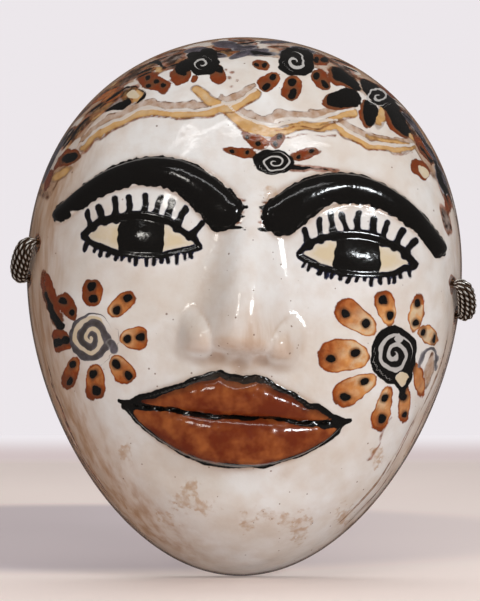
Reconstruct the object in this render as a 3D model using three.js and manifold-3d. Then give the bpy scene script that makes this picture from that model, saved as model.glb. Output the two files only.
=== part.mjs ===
// Glazed ceramic wall mask: a hollow, domed, egg-shaped face with an open back,
// raised brows, nose, lids and lips, and a twisted-silver hoop through each side.
// Millimetres, +Z up. The face looks along -Y, and the flat back rim lies on the
// wall in the plane y = 0. The origin is on the back of the hanging web, just
// above its nail hole.
import * as THREE from "three";
import { mergeVertices } from "three/addons/utils/BufferGeometryUtils.js";
import Module from "manifold-3d";

// Driving dimensions of the shell
const WIDTH = 228;
const HEIGHT = 285;
const DOME_DEPTH = 72; // from the bevelled rim to the front of the bare dome
const RIM_BEVEL_DEPTH = 3; // the rim is bevelled where it meets the wall
const RIM_BEVEL_WIDTH = 2;
const WALL = 6.5;
const BLANK_OVERRUN = 1; // blanks run this far behind the wall plane before they are cut
const EGG_TAPER = 0.14; // how much wider the brow is than the jaw
const OUTLINE_ROLL = THREE.MathUtils.degToRad(1.3);
const DOME_POWER = 2.6; // 2 is an ellipse, more is flatter in front
const DOME_CUT = 0.96; // the dome is cut off before its wall is square to the back
const DOME_SPREAD = THREE.MathUtils.degToRad(75); // evens out the grid over the dome
const CROWN_ABOVE_ORIGIN = 34;
const CENTRE_Z = CROWN_ABOVE_ORIGIN - HEIGHT / 2;

// The face is set out in thirds, from the hairline to the tip of the chin
const FACE_ROLL = THREE.MathUtils.degToRad(5);
const HAIRLINE_V = 132;
const CHIN_V = -106;
const THIRD = (HAIRLINE_V - CHIN_V) / 3;
const BROW_V = HAIRLINE_V - THIRD;
const NOSE_BASE_V = BROW_V - THIRD;
const MOUTH_V = NOSE_BASE_V - THIRD / 3;
const EYE_V = BROW_V - 0.31 * THIRD;
const INNER_CORNER_U = WIDTH / 10; // the eyes are a fifth of the width apart
const EYE_HALF = 29;
const EYE_U = INNER_CORNER_U + EYE_HALF + 2;
const UPPER_LID = 12;
const LOWER_LID = 7;
const MOUTH_HALF = EYE_U; // the mouth is as wide as the pupils are apart
const UPPER_LIP = 20;
const LOWER_LIP = 25;
const LIP_PEAK_U = 9;
const NOSE_TIP_V = NOSE_BASE_V + 15;
const NOSE_TIP_RISE = 19;
const NOSE_BRIDGE_RISE = 4;
const NOSE_BRIDGE_HALF = 10;
const NOSE_TIP_HALF = 16;
const WING_RISE = 11;
const WING_U = 19;
const NOSTRIL_U = 10;
const BROW_START_HALF = 10.5; // half width of a brow at the nose, and at the temple
const BROW_END_HALF = 5.5;
const BROW_START_RISE = 5.5;
const BROW_END_RISE = 3;
const UPPER_LIP_RISE = 6;
const LOWER_LIP_RISE = 7.5;
const RELIEF_ENDS = 0.93; // beyond this spread the relief runs out towards the rim

// Hanging web and its nail hole
const WEB_THICKNESS = 8;
const WEB_OVER_TOP = 2; // its blank runs this far past the shell before it is trimmed to it
const WEB_OVER_SIDES = 5;
const WEB_BOTTOM_Z = -58; // at its two ends, where it meets the side walls
const WEB_ARCH_RADIUS = 110;
const WEB_ARCH_TOP_Z = -24;
const NAIL_HOLE_Z = -11;
const NAIL_HOLE_RADIUS = 3.6;

// Hoops: each goes through two holes in the side wall
const EAR_Z = { left: 31, right: 14.5 }; // upper holes, above the middle of the mask
const EAR_DROP = { left: 19, right: 16.5 }; // from the upper hole to the lower
const EAR_UPPER_Y = -22;
const EAR_LOWER_Y = -9;
const EAR_HOLE_RADIUS = 2.7;
const HOOP_RISE = 6.4; // height of the arch outside the wall
const HOOP_SQUARENESS = 0.65; // 1 is a half ellipse, less is more like a staple
const HOOP_INSIDE = 11; // depth of the plain wire behind the wall
const HOOP_INSIDE_SQUARENESS = 0.5;
const HOOP_RADIUS = 5.2; // at the fattest place
const HOOP_TAPER = 0.7; // less keeps the bundle fat nearer to its holes
const HOOP_WIRE_RADIUS = 1.1;
const HOOP_STRANDS = 8;
const STRAND_LOBE = 0.08;

// Grids: columns by rows
const OUTER_GRID = [44, 58];
const INNER_GRID = [16, 22];
const GRID_FOCUS = 0.45; // closer lines in the middle of the face
const SOFTNESS = 1.1; // of the edges of brows and lips, 0.5 is a full roll
const BROW_STEPS = 24;
const HOLE_SIDES = 20;
const ARCH_SIDES = 96;
const HOOP_STEPS = 22;

const GLAZE_COLOUR = 0xd6c9c0;
const SILVER_COLOUR = 0x8f8777;

const wasm = await Module();
wasm.setup();

const gauss = (u, v, cu, cv, ru, rv) => Math.exp(-(((u - cu) / ru) ** 2) - ((v - cv) / rv) ** 2);

// A soft step from 0 to 1 between two places, which may be given in either order
function smooth(from, to, x) {
  const t = THREE.MathUtils.clamp((x - from) / (to - from), 0, 1);
  return t * t * (3 - 2 * t);
}

// Height of the bare dome over a radius of 0 to 1, as a share of its depth
function domeShare(radius) {
  const height = (t) => (1 - t ** DOME_POWER) ** (1 / DOME_POWER);
  const cut = height(DOME_CUT);
  return (height(DOME_CUT * radius) - cut) / (1 - cut);
}

// The radius at which the bare dome stands this far out from the wall
function domeRadiusAt(y) {
  const cut = (1 - DOME_CUT ** DOME_POWER) ** (1 / DOME_POWER);
  const height = cut + ((-y - RIM_BEVEL_DEPTH) / DOME_DEPTH) * (1 - cut);
  return (1 - height ** DOME_POWER) ** (1 / DOME_POWER) / DOME_CUT;
}

// Turns the egg outline's own x and z into the part's frame
function placed(x, y, z) {
  const c = Math.cos(OUTLINE_ROLL);
  const s = Math.sin(OUTLINE_ROLL);
  return new THREE.Vector3(x * c + z * s, y, CENTRE_Z - x * s + z * c);
}

// A point of the dome, from the unit disc that it unrolls to
function domePoint(a, b, inset = 0) {
  const spread = Math.hypot(a, b);
  const cos = spread > 0 ? a / spread : 1;
  const sin = spread > 0 ? b / spread : 0;
  const radius = Math.sin(DOME_SPREAD * spread) / Math.sin(DOME_SPREAD);
  const x = (WIDTH / 2 - inset) * radius * cos * (1 + EGG_TAPER * sin);
  const z = (HEIGHT / 2 - inset) * radius * sin;
  return placed(x, -RIM_BEVEL_DEPTH - (DOME_DEPTH - inset) * domeShare(radius), z);
}

function domeNormal(a, b, inset = 0) {
  const step = 1e-3;
  const across = domePoint(a + step, b, inset).sub(domePoint(a - step, b, inset));
  const up = domePoint(a, b + step, inset).sub(domePoint(a, b - step, inset));
  return across.cross(up).normalize();
}

// Face coordinates: u to the viewer's right and v up, both turned with the face
function faceUV(point) {
  const c = Math.cos(FACE_ROLL);
  const s = Math.sin(FACE_ROLL);
  const z = point.z - CENTRE_Z;
  return [point.x * c - z * s, point.x * s + z * c];
}

const browCurve = new THREE.QuadraticBezierCurve(
  new THREE.Vector2(15, BROW_V - 6),
  new THREE.Vector2(50, BROW_V + 32),
  new THREE.Vector2(97, BROW_V - 14),
);
const browLine = browCurve.getPoints(BROW_STEPS);

// How far a point lies from a line of points, and where along it the nearest place is
function nearestOn(line, u, v) {
  const best = { distance: Infinity, along: 0 };
  for (let i = 1; i < line.length; i++) {
    const start = line[i - 1];
    const du = line[i].x - start.x;
    const dv = line[i].y - start.y;
    const share = ((u - start.x) * du + (v - start.y) * dv) / (du ** 2 + dv ** 2);
    const t = THREE.MathUtils.clamp(share, 0, 1);
    const distance = Math.hypot(u - start.x - t * du, v - start.y - t * dv);
    if (distance < best.distance) {
      best.distance = distance;
      best.along = (i - 1 + t) / (line.length - 1);
    }
  }
  return best;
}

// A brow is a roll of clay, thick at the nose and thin at the temple
function browRise(u, v) {
  const { distance, along } = nearestOn(browLine, Math.abs(u), v);
  const half = THREE.MathUtils.lerp(BROW_START_HALF, BROW_END_HALF, along);
  const height = THREE.MathUtils.lerp(BROW_START_RISE, BROW_END_RISE, along);
  return height * Math.max(0, 1 - (distance / half) ** 2) ** SOFTNESS;
}

// How far inside the almond of an eye a point lies, less than 0 outside it
function insideEye(u, v) {
  const x = (Math.abs(u) - EYE_U) / EYE_HALF;
  if (Math.abs(x) >= 1) return -1;
  const arch = 1 - x ** 2;
  return Math.min(EYE_V + UPPER_LID * arch ** 0.8 - v, v - EYE_V + LOWER_LID * arch);
}

function eyeRise(u, v) {
  const side = Math.abs(u);
  const socket = -3 * gauss(side, v, EYE_U - 12, EYE_V + 4, 34, 20);
  const ball = 6.5 * gauss(side, v, EYE_U, EYE_V + 1, 27, 16);
  const opening = -1.3 * smooth(-2, 2, insideEye(u, v));
  return socket + ball + opening;
}

function noseRise(u, v) {
  const down = smooth(BROW_V + 6, NOSE_TIP_V, v);
  const foot = smooth(NOSE_BASE_V - 4, NOSE_TIP_V - 3, v);
  const half = THREE.MathUtils.lerp(NOSE_BRIDGE_HALF, NOSE_TIP_HALF, down);
  const ridge = THREE.MathUtils.lerp(NOSE_BRIDGE_RISE, NOSE_TIP_RISE, down ** 1.2);
  const top = smooth(BROW_V + 24, BROW_V - 8, v);
  const bridge = ridge * Math.exp(-(Math.abs(u / half) ** 2.3)) * foot * top;
  const wingFoot = smooth(NOSE_BASE_V - 5, NOSE_BASE_V + 5, v);
  const wings = WING_RISE * gauss(Math.abs(u), v, WING_U, NOSE_TIP_V - 5, 10, 11) * wingFoot;
  const nostrils = -2 * gauss(Math.abs(u), v, NOSTRIL_U, NOSE_BASE_V + 2, 5, 4);
  return Math.max(bridge, wings) + 0.35 * Math.min(bridge, wings) + nostrils;
}

// Upper and lower lip meet on a groove at the mouth line
function lipRise(u, v) {
  const side = Math.abs(u);
  if (side >= MOUTH_HALF) return 0;
  const slope = Math.min(1, (MOUTH_HALF - side) / (MOUTH_HALF - LIP_PEAK_U));
  const bow = 2.5 * Math.max(0, 1 - (u / LIP_PEAK_U) ** 2);
  const upper = UPPER_LIP * slope ** 0.9 - bow;
  const lower = LOWER_LIP * (1 - (u / MOUTH_HALF) ** 2) ** 0.75;
  const share = v > MOUTH_V ? (v - MOUTH_V) / upper : (MOUTH_V - v) / lower;
  if (share >= 1) return 0;
  const lipHeight = v > MOUTH_V ? UPPER_LIP_RISE : LOWER_LIP_RISE;
  const fullness = lipHeight * (1 - (u / MOUTH_HALF) ** 2) ** 0.8;
  return fullness * (4 * share * (1 - share)) ** SOFTNESS;
}

function fleshRise(u, v) {
  const side = Math.abs(u);
  const muzzle = 5 * gauss(u, v, 0, MOUTH_V, 46, 32);
  const philtrum = -1.4 * gauss(u, v, 0, (NOSE_BASE_V + MOUTH_V + UPPER_LIP) / 2, 4, 8);
  const underLip = -3 * gauss(u, v, 0, MOUTH_V - LOWER_LIP - 6, 30, 7);
  const chin = 6 * gauss(u, v, 0, CHIN_V + 8, 34, 20);
  const cheek = 3.5 * gauss(side, v, 64, NOSE_BASE_V + 14, 30, 26);
  return muzzle + philtrum + underLip + chin + cheek;
}

function relief(u, v) {
  return fleshRise(u, v) + eyeRise(u, v) + noseRise(u, v) + lipRise(u, v) + browRise(u, v);
}

// The hollow follows only the broad forms
function hollowRise(u, v) {
  return 13 * gauss(u, v, 0, NOSE_TIP_V, 13, 22) + 3 * gauss(u, v, 0, MOUTH_V, 40, 30);
}

// Bends a box's front face over the dome and leaves its back face flat
function domedBox([columns, rows], inset, backY, backInset, rise) {
  const box = new THREE.BoxGeometry(2, 2, 2, columns, 1, rows);
  const position = box.getAttribute("position");
  const gridTurn = FACE_ROLL - OUTLINE_ROLL; // the grid's lines run with the face
  const focus = (k) => k - (GRID_FOCUS * Math.sin(Math.PI * k)) / Math.PI;
  for (let i = 0; i < position.count; i++) {
    const p = focus(position.getX(i));
    const q = focus(position.getZ(i));
    const across = p * Math.sqrt(1 - q ** 2 / 2);
    const up = q * Math.sqrt(1 - p ** 2 / 2);
    const a = across * Math.cos(gridTurn) + up * Math.sin(gridTurn);
    const b = up * Math.cos(gridTurn) - across * Math.sin(gridTurn);
    const isBack = position.getY(i) > 0;
    const point = domePoint(a, b, isBack ? backInset : inset);
    if (isBack) {
      point.y = backY;
    } else {
      const fade = smooth(1, RELIEF_ENDS, Math.hypot(a, b));
      point.addScaledVector(domeNormal(a, b, inset), fade * rise(...faceUV(point)));
    }
    position.setXYZ(i, point.x, point.y, point.z);
  }
  return box;
}

function solidOf(geometry) {
  const bare = geometry.clone();
  bare.deleteAttribute("normal");
  bare.deleteAttribute("uv");
  const merged = mergeVertices(bare, 1e-3);
  return new wasm.Manifold(
    new wasm.Mesh({
      numProp: 3,
      vertProperties: merged.getAttribute("position").array,
      triVerts: new Uint32Array(merged.index.array),
    }),
  );
}

function geometryOf(solid) {
  const mesh = solid.getMesh();
  const geometry = new THREE.BufferGeometry();
  geometry.setAttribute("position", new THREE.BufferAttribute(mesh.vertProperties, 3));
  geometry.setIndex(new THREE.BufferAttribute(mesh.triVerts, 1));
  geometry.computeVertexNormals();
  return geometry;
}

// A round bar along a direction, for cutting holes
function barAlong(centre, direction, radius, length) {
  const bar = new THREE.CylinderGeometry(radius, radius, length, HOLE_SIDES);
  const turn = new THREE.Quaternion().setFromUnitVectors(new THREE.Vector3(0, 1, 0), direction);
  bar.applyQuaternion(turn);
  bar.translate(centre.x, centre.y, centre.z);
  return bar;
}

// A point of the outer wall at this depth and height, and the way out of it
function wallPlace(side, y, z) {
  const radius = domeRadiusAt(y);
  const sin = z / ((HEIGHT / 2) * radius);
  const cos = side * Math.sqrt(1 - sin ** 2);
  const spread = Math.asin(radius * Math.sin(DOME_SPREAD)) / DOME_SPREAD;
  return {
    point: domePoint(spread * cos, spread * sin),
    normal: domeNormal(spread * cos, spread * sin),
  };
}

// The two holes that a hoop hangs in
function earHoles(name) {
  const side = name === "left" ? -1 : 1;
  return [
    wallPlace(side, EAR_UPPER_Y, EAR_Z[name]),
    wallPlace(side, EAR_LOWER_Y, EAR_Z[name] - EAR_DROP[name]),
  ];
}

function maskSolid() {
  const bevelSlope = RIM_BEVEL_WIDTH / RIM_BEVEL_DEPTH;
  const blankInset = RIM_BEVEL_WIDTH + bevelSlope * BLANK_OVERRUN;
  const blank = solidOf(domedBox(OUTER_GRID, 0, BLANK_OVERRUN, blankInset, relief));
  const front = new THREE.BoxGeometry(2 * WIDTH, 4 * DOME_DEPTH, 2 * HEIGHT);
  front.translate(0, -2 * DOME_DEPTH, CENTRE_Z);
  const outer = blank.intersect(solidOf(front));
  const hollow = solidOf(domedBox(INNER_GRID, WALL, BLANK_OVERRUN, WALL, hollowRise));
  const webHeight = CROWN_ABOVE_ORIGIN + WEB_OVER_TOP - WEB_BOTTOM_Z;
  const webBox = new THREE.BoxGeometry(WIDTH + 2 * WEB_OVER_SIDES, WEB_THICKNESS, webHeight);
  webBox.translate(0, -WEB_THICKNESS / 2, WEB_BOTTOM_Z + webHeight / 2);
  const archDepth = 4 * WEB_THICKNESS;
  const arch = new THREE.CylinderGeometry(WEB_ARCH_RADIUS, WEB_ARCH_RADIUS, archDepth, ARCH_SIDES);
  arch.translate(0, 0, WEB_ARCH_TOP_Z - WEB_ARCH_RADIUS);
  const web = solidOf(webBox).intersect(outer).subtract(solidOf(arch));
  const nailPlace = new THREE.Vector3(0, -WEB_THICKNESS / 2, NAIL_HOLE_Z);
  const nailWay = new THREE.Vector3(0, 1, 0);
  const nailHole = solidOf(barAlong(nailPlace, nailWay, NAIL_HOLE_RADIUS, 3 * WEB_THICKNESS));
  let mask = outer.subtract(hollow).add(web).subtract(nailHole);
  for (const name of ["left", "right"]) {
    const [upper, lower] = earHoles(name);
    const outward = upper.normal.clone().add(lower.normal).normalize();
    for (const hole of [upper, lower]) {
      mask = mask.subtract(solidOf(barAlong(hole.point, outward, EAR_HOLE_RADIUS, 5 * WALL)));
    }
  }
  return geometryOf(mask);
}

const powered = (x, power) => Math.sign(x) * Math.abs(x) ** power;

// A closed hoop: a fat bundle of silver strands outside the wall, which tapers
// to a plain wire that goes in at one hole and comes out at the other
function hoopGeometry(name) {
  const [upper, lower] = earHoles(name);
  const centre = upper.point.clone().add(lower.point).multiplyScalar(0.5);
  const along = upper.point.clone().sub(centre);
  const half = along.length();
  along.normalize();
  const outward = upper.normal.clone().add(lower.normal);
  outward.addScaledVector(along, -outward.dot(along)).normalize();
  const across = along.clone().cross(outward);
  const torus = new THREE.TorusGeometry(1, 0.25, 2 * HOOP_STRANDS, HOOP_STEPS);
  const position = torus.getAttribute("position");
  for (let i = 0; i < position.count; i++) {
    const [x, y, z] = [position.getX(i), position.getY(i), position.getZ(i)];
    const turn = Math.atan2(y, x);
    const round = Math.atan2(z, Math.hypot(x, y) - 1);
    const outside = Math.sin(turn) > 0;
    const rise = outside ? HOOP_RISE : HOOP_INSIDE;
    const fatness = outside ? Math.sin(turn) ** HOOP_TAPER : 0;
    const lobe = 1 + STRAND_LOBE * fatness * Math.cos(HOOP_STRANDS * round);
    const radius = (HOOP_WIRE_RADIUS + (HOOP_RADIUS - HOOP_WIRE_RADIUS) * fatness) * lobe;
    const square = outside ? HOOP_SQUARENESS : HOOP_INSIDE_SQUARENESS;
    const away = along.clone().multiplyScalar(powered(Math.cos(turn), 2 - square) * rise);
    away.addScaledVector(outward, powered(Math.sin(turn), 2 - square) * half).normalize();
    const point = centre.clone().addScaledVector(along, half * powered(Math.cos(turn), square));
    point.addScaledVector(outward, rise * powered(Math.sin(turn), square));
    point.addScaledVector(away, radius * Math.cos(round));
    point.addScaledVector(across, radius * Math.sin(round));
    position.setXYZ(i, point.x, point.y, point.z);
  }
  torus.computeVertexNormals();
  return torus;
}

function named(name, geometry, material) {
  const mesh = new THREE.Mesh(geometry, material);
  mesh.name = name;
  return mesh;
}

const glaze = new THREE.MeshStandardMaterial({ color: GLAZE_COLOUR, roughness: 0.2, metalness: 0 });
const silver = new THREE.MeshStandardMaterial({ color: SILVER_COLOUR, roughness: 0.35, metalness: 1 });

const wallMask = new THREE.Group();
wallMask.add(named("mask", maskSolid(), glaze));
for (const name of ["left", "right"]) {
  wallMask.add(named("earring_" + name, hoopGeometry(name), silver));
}

export default wallMask;
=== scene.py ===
# Painted and glazed ceramic wall mask with twisted silver hoops, dressed on its solids.
# Lengths in the functions are millimetres unless a name says otherwise; meshes and nodes use metres.
import math

import bmesh
import bpy
import numpy as np
from bpy.props import FloatProperty, FloatVectorProperty, IntProperty, PointerProperty
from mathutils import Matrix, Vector, kdtree


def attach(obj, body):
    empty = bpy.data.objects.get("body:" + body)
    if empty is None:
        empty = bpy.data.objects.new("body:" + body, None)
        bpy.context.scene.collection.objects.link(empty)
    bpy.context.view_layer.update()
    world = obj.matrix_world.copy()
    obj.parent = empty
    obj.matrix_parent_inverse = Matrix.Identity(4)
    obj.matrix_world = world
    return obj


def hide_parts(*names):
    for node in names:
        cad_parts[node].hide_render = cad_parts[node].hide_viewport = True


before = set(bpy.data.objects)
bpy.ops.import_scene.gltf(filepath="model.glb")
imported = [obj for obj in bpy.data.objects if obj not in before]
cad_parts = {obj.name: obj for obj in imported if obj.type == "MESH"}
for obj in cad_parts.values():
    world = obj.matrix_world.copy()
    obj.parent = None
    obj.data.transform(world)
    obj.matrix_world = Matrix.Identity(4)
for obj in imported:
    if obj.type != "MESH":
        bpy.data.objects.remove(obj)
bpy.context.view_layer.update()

bl_info = {
    "name": "Painted Ceramic Mask",
    "version": (1, 0, 0),
    "blender": (4, 5, 0),
    "location": "View3D > Sidebar > Ceramic Mask",
    "description": "Models and paints a glazed ceramic wall mask with silver hoops",
    "category": "Object",
}

MM = 0.001

# Shell of the mask, as in its solid
WIDTH = 228
HEIGHT = 285
DOME_DEPTH = 72
RIM_ROUND_DEPTH = 3
RIM_ROUND_WIDTH = 2
EGG_TAPER = 0.14
OUTLINE_ROLL = math.radians(1.3)
DOME_POWER = 2.6
DOME_CUT = 0.96
DOME_SPREAD = math.radians(75)
CROWN_Z = 34
CENTRE_Z = CROWN_Z - HEIGHT / 2

# Layout of the face, in thirds from the hairline to the tip of the chin
FACE_ROLL = math.radians(5)
HAIRLINE_V = 132
CHIN_V = -106
THIRD = (HAIRLINE_V - CHIN_V) / 3
BROW_V = HAIRLINE_V - THIRD
NOSE_BASE_V = BROW_V - THIRD
MOUTH_V = NOSE_BASE_V - THIRD / 3
EYE_V = BROW_V - 0.31 * THIRD
EYE_HALF = 29
EYE_U = WIDTH / 10 + EYE_HALF + 2
UPPER_LID = 12
LOWER_LID = 7
LID_POWER = 0.8  # less makes the upper lid a fuller arch
MOUTH_HALF = EYE_U
UPPER_LIP = 20
LOWER_LIP = 25
LIP_PEAK_U = 9
LIP_BOW = 2.5
NOSE_TIP_V = NOSE_BASE_V + 15
NOSE_BRIDGE_RISE = 4
BROW_BEND = ((15, BROW_V - 6), (50, BROW_V + 32), (97, BROW_V - 14))
BROW_HALF = 9.8  # half width of a brow at its inner end
BROW_NARROWING = 5.6
BROW_FALL = 0.45  # share of its height that a brow loses along its length
BROW_BLUNTNESS = 0.62

# Soft forms of the flesh on both sides: height, place and reach across and up
FLESH = (
    (5, 0, MOUTH_V, 46, 32),  # muzzle
    (-1.4, 0, (NOSE_BASE_V + MOUTH_V + UPPER_LIP) / 2, 4, 8),  # groove under the nose
    (-3, 0, MOUTH_V - LOWER_LIP - 6, 30, 7),  # hollow under the lips
    (6, 0, CHIN_V + 8, 34, 20),  # chin
    (3.5, 64, NOSE_BASE_V + 14, 30, 26),  # cheek
    (-3, EYE_U - 12, EYE_V + 4, 34, 20),  # eye socket
    (6.5, EYE_U, EYE_V + 1, 27, 16),  # eyeball
    (-2.4, 10, NOSE_BASE_V + 2, 4.5, 3.5),  # nostril
    (-0.9, 30, NOSE_TIP_V - 6, 3, 10),  # crease beside the nose
)

# Hanging web with its nail hole
WEB_THICKNESS = 8
WEB_ARCH_RADIUS = 110
WEB_ARCH_TOP_Z = -24
WEB_BOTTOM_Z = -58
WEB_EDGE_RADIUS = 2.5
NAIL_HOLE_Z = -11
NAIL_HOLE_RADIUS = 3.6
SLANT = (0.3, 0.2, 0.93)  # a direction that no hole runs along

# Holes and hoops at the sides
EAR_Z = {"left": 31, "right": 14.5}
EAR_DROP = {"left": 19, "right": 16.5}
EAR_UPPER_Y = -22
EAR_LOWER_Y = -9
EAR_HOLE_RADIUS = 2.7
HOOP_RISE = 6.4
HOOP_SQUARENESS = 0.65
HOOP_TAPER = 0.5  # less keeps the bundle of strands fat nearer to its holes
HOOP_INSIDE = 11
HOOP_INSIDE_SQUARENESS = 0.5
HOOP_WIRE_RADIUS = 1.1
HOOP_CORE_RADIUS = 3.3
BUNDLE_LAY = 22  # radians that the strands turn round the bundle in a metre
STRAND_START = 2.1  # radians from one strand's twist to the next one's
WIRE_BITE = 0.08  # share of its radius by which a wire sinks into the other one of its strand

# Paints, from the first laid to the last, and the depth of a place that is well outside them
PAINTS = (
    "taupe", "ochre", "light", "brown", "petal", "cream", "slate", "lip", "ink", "lash", "scratch", "stain"
)
OUTSIDE = -9.0

# Lines that wind in a spiral, and how much of each winding the line fills
WOUND = {"brushed": 0.6, "scratched": 0.42, "engraved": 0.27}
FAR_WIND = (9.0, 9.0, 0.0)

# Where the mask is looked at from: a point in front of it, level, and the height of the view at its rim
VIEW_X = -1.85
VIEW_Z = -105.3
VIEW_DISTANCE = 1100
VIEW_HEIGHT = 317.8
SENSOR_WIDTH = 36
OUTLINE_SLACK = 0.03  # keeps the smooth outline inside the one of the solid
RIM_GIRTH = 118  # mean radius of the rim
RIM_REACH = 165  # way over the dome from its middle to its rim
FACE_LIMIT = 0.93  # spread beyond which the relief fades and marks placed from the front run out

# How finely the forms are made, and the bounds used in making them
GRID_FOCUS = 0.12  # draws the grid's lines together towards the middle of the face
HOLLOW_GRID = (84, 100)
WEB_GRID = (60, 72)
PIN_SIDES = 28
CORE_SIDES = 12
WIRE_SIDES = 6
GUIDE_POINTS = 150
HOOP_START = 0.06  # radians of the arch at each end that the strands leave bare
HOLLOW_ROUNDS = 14
HOLLOW_LIMIT = 1.5
SKIN = 0.5  # how near to the painted outside a point has to be to take its paint
SHARP_ANGLE = math.radians(50)

# Table under the mask, and the oval shade on it in metres: its middle and how fast it ends each way
TABLE_TOP_Z = -251.2
TABLE_THICKNESS = 40
TABLE_REACH = 2500
SHADE_MIDDLE = (-0.1, 0.2, TABLE_TOP_Z * MM)
SHADE_SCALE = (3.3, 5.4, 0.0)

# Lights: setting, place and target in metres, width and height, tint, and whether the glaze mirrors them
AIM = (0, -0.05, CENTRE_Z * MM)
LIGHTS = (
    ("left_light", (-0.6, -1.15, 0.5), AIM, 0.24, 0.16, (1, 0.96, 0.9), True),
    ("right_light", (0.85, -1.0, 0.36), AIM, 0.3, 0.16, (0.93, 0.97, 1), True),
    ("strip_light", (0, -0.75, 0.85), AIM, 1.1, 0.05, (1, 1, 1), True),
    ("low_light", (0.15, -1.0, -0.21), AIM, 1.2, 0.3, (0.95, 0.98, 1), False),
    ("top_light", (0, 0.1, 1.1), (0, 0.15, -0.25), 1.6, 1.2, (1, 1, 1), False),
)


# Settings that a user would change

def length(name, description, default):
    return FloatProperty(name=name, description=description, default=default, unit="LENGTH")


def amount(name, description, default):
    return FloatProperty(name=name, description=description, default=default, min=0)


def number(name, description, default, least):
    return IntProperty(name=name, description=description, default=default, min=least)


def linear(*rgb):
    def channel(value):
        share = value / 255
        return share / 12.92 if share <= 0.04045 else ((share + 0.055) / 1.055) ** 2.4

    return (*map(channel, rgb), 1.0)


def colour(name, description, *rgb):
    return FloatVectorProperty(
        name=name, description=description, default=linear(*rgb), size=4, subtype="COLOR", min=0, max=1
    )


class ShellSettings(bpy.types.PropertyGroup):
    wall: length("Wall", "Thickness of the ceramic wall", 0.0065)
    brow_height: length("Brow height", "How far the rolled brows stand out", 0.0055)
    upper_lip: length("Upper lip", "How far the upper lip stands out", 0.006)
    lower_lip: length("Lower lip", "How far the lower lip stands out", 0.0075)
    nose_height: length("Nose height", "How far the tip of the nose stands out", 0.0185)
    dent_depth: length("Dents", "Depth of the dents left by the modeller's fingers", 0.00045)
    columns: number("Columns", "Grid lines across the face", 256, 40)
    rows: number("Rows", "Grid lines up the face", 300, 40)


class PaintSettings(bpy.types.PropertyGroup):
    glaze: colour("Glaze", "Tin-white glaze", 200, 192, 184)
    warm_glaze: colour("Warm glaze", "Where the white is thin over the clay", 176, 144, 116)
    cool_glaze: colour("Cool glaze", "Where the white is thick", 209, 206, 203)
    clay: colour("Clay", "Fired clay inside", 176, 128, 92)
    ink: colour("Ink", "Black of brows, dots and discs", 14, 12, 10)
    cobalt: colour("Cobalt", "Blue bleeding from the lash lines", 28, 34, 62)
    rust: colour("Rust", "Petals", 138, 62, 18)
    pale_rust: colour("Pale rust", "Thin paint in the petals", 202, 144, 84)
    umber: colour("Umber", "Leaves and streaks near the rim", 92, 58, 36)
    lips: colour("Lips", "Amber brown of the lips", 98, 38, 16)
    ochre: colour("Ochre", "Vines", 188, 148, 94)
    taupe: colour("Taupe", "Shadow beside the vines", 150, 116, 88)
    cream: colour("Cream", "Eye whites and the grounds of spirals", 192, 175, 146)
    slate: colour("Slate", "Grey spiral and leaves", 82, 77, 86)
    scratch: colour("Scratch", "Light lines scratched in the black", 176, 172, 168)
    stain: colour("Stain", "Ochre specks and stains in the glaze", 158, 116, 70)
    wobble: length("Brush wobble", "How unsteady the painted edges are", 0.0006)


class HoopSettings(bpy.types.PropertyGroup):
    strands: number("Strands", "Twisted strands round each hoop", 11, 3)
    bundle_radius: length("Bundle radius", "Radius of the bundle at its fattest", 0.0052)
    wire_radius: length("Wire radius", "Radius of the two wires of a strand", 0.0006)
    pitch: length("Twist pitch", "Length of one full twist of a strand", 0.0062)
    silver: colour("Silver", "Rubbed metal on the ridges", 250, 246, 238)
    tarnish: colour("Tarnish", "Dark metal in the hollows", 70, 50, 34)


class StageSettings(bpy.types.PropertyGroup):
    camera_distance: length("Camera distance", "From the camera to the rim of the mask", VIEW_DISTANCE * MM)
    table_depth: length("Table depth", "How far the table runs on behind the mask", 1.15)
    floor: colour("Floor", "Pale table top", 238, 223, 216)
    shade: colour("Shade", "Wide soft shade on the table top", 196, 184, 186)
    horizon: colour("Horizon", "Dim end of the table top", 206, 191, 191)
    backdrop: colour("Backdrop", "Pale wall far behind", 236, 231, 235)
    left_light: amount("Left light", "Soft light from upper left", 1.7)
    right_light: amount("Right light", "Soft light from upper right", 7.2)
    top_light: amount("Top light", "Wide light overhead", 10.4)
    strip_light: amount("Strip light", "Narrow light high in front", 1.5)
    low_light: amount("Low light", "Weak wide light in front, for the chin", 5.2)
    floor_glow: amount("Floor glow", "Light that the table top adds", 0.215)
    surroundings: amount("Surroundings", "Even light all round", 0.28)
    reflected: amount("Reflected", "Surroundings as the glaze mirrors them", 0.1)


# Small helpers of shape

def smooth(start, end, value):
    share = np.clip((value - start) / (end - start), 0, 1)
    return share * share * (3 - 2 * share)


def bell(x, y, cx, cy, rx, ry):
    return np.exp(-(((x - cx) / rx) ** 2) - ((y - cy) / ry) ** 2)


def signed_power(value, power):
    return np.sign(value) * np.abs(value) ** power


def unit(vector):
    return vector / np.linalg.norm(vector)


def rolled(x, y, angle):
    """A place in the plane after a turn by this angle, towards the first axis."""
    c, s = math.cos(angle), math.sin(angle)
    return x * c + y * s, y * c - x * s


def ripple(points, size, seed, waves=14):
    """Smooth noise between about -1 and 1, with bumps of about this size, from a few sine waves."""
    rng = np.random.default_rng(seed)
    directions = rng.normal(size=(waves, points.shape[1]))
    directions /= np.linalg.norm(directions, axis=1)[:, None]
    turns = rng.uniform(0.7, 1.4, waves) * math.pi / size
    starts = rng.uniform(0, 2 * math.pi, waves)
    phase = points @ (directions * turns[:, None]).T + starts
    return np.sin(phase).sum(1) * math.sqrt(2 / waves) / 1.6


def bezier(corners, count):
    t = np.linspace(0, 1, count)[:, None]
    a, b, c = (np.array(corner, float) for corner in corners)
    return (1 - t) ** 2 * a + 2 * t * (1 - t) * b + t**2 * c


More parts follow.
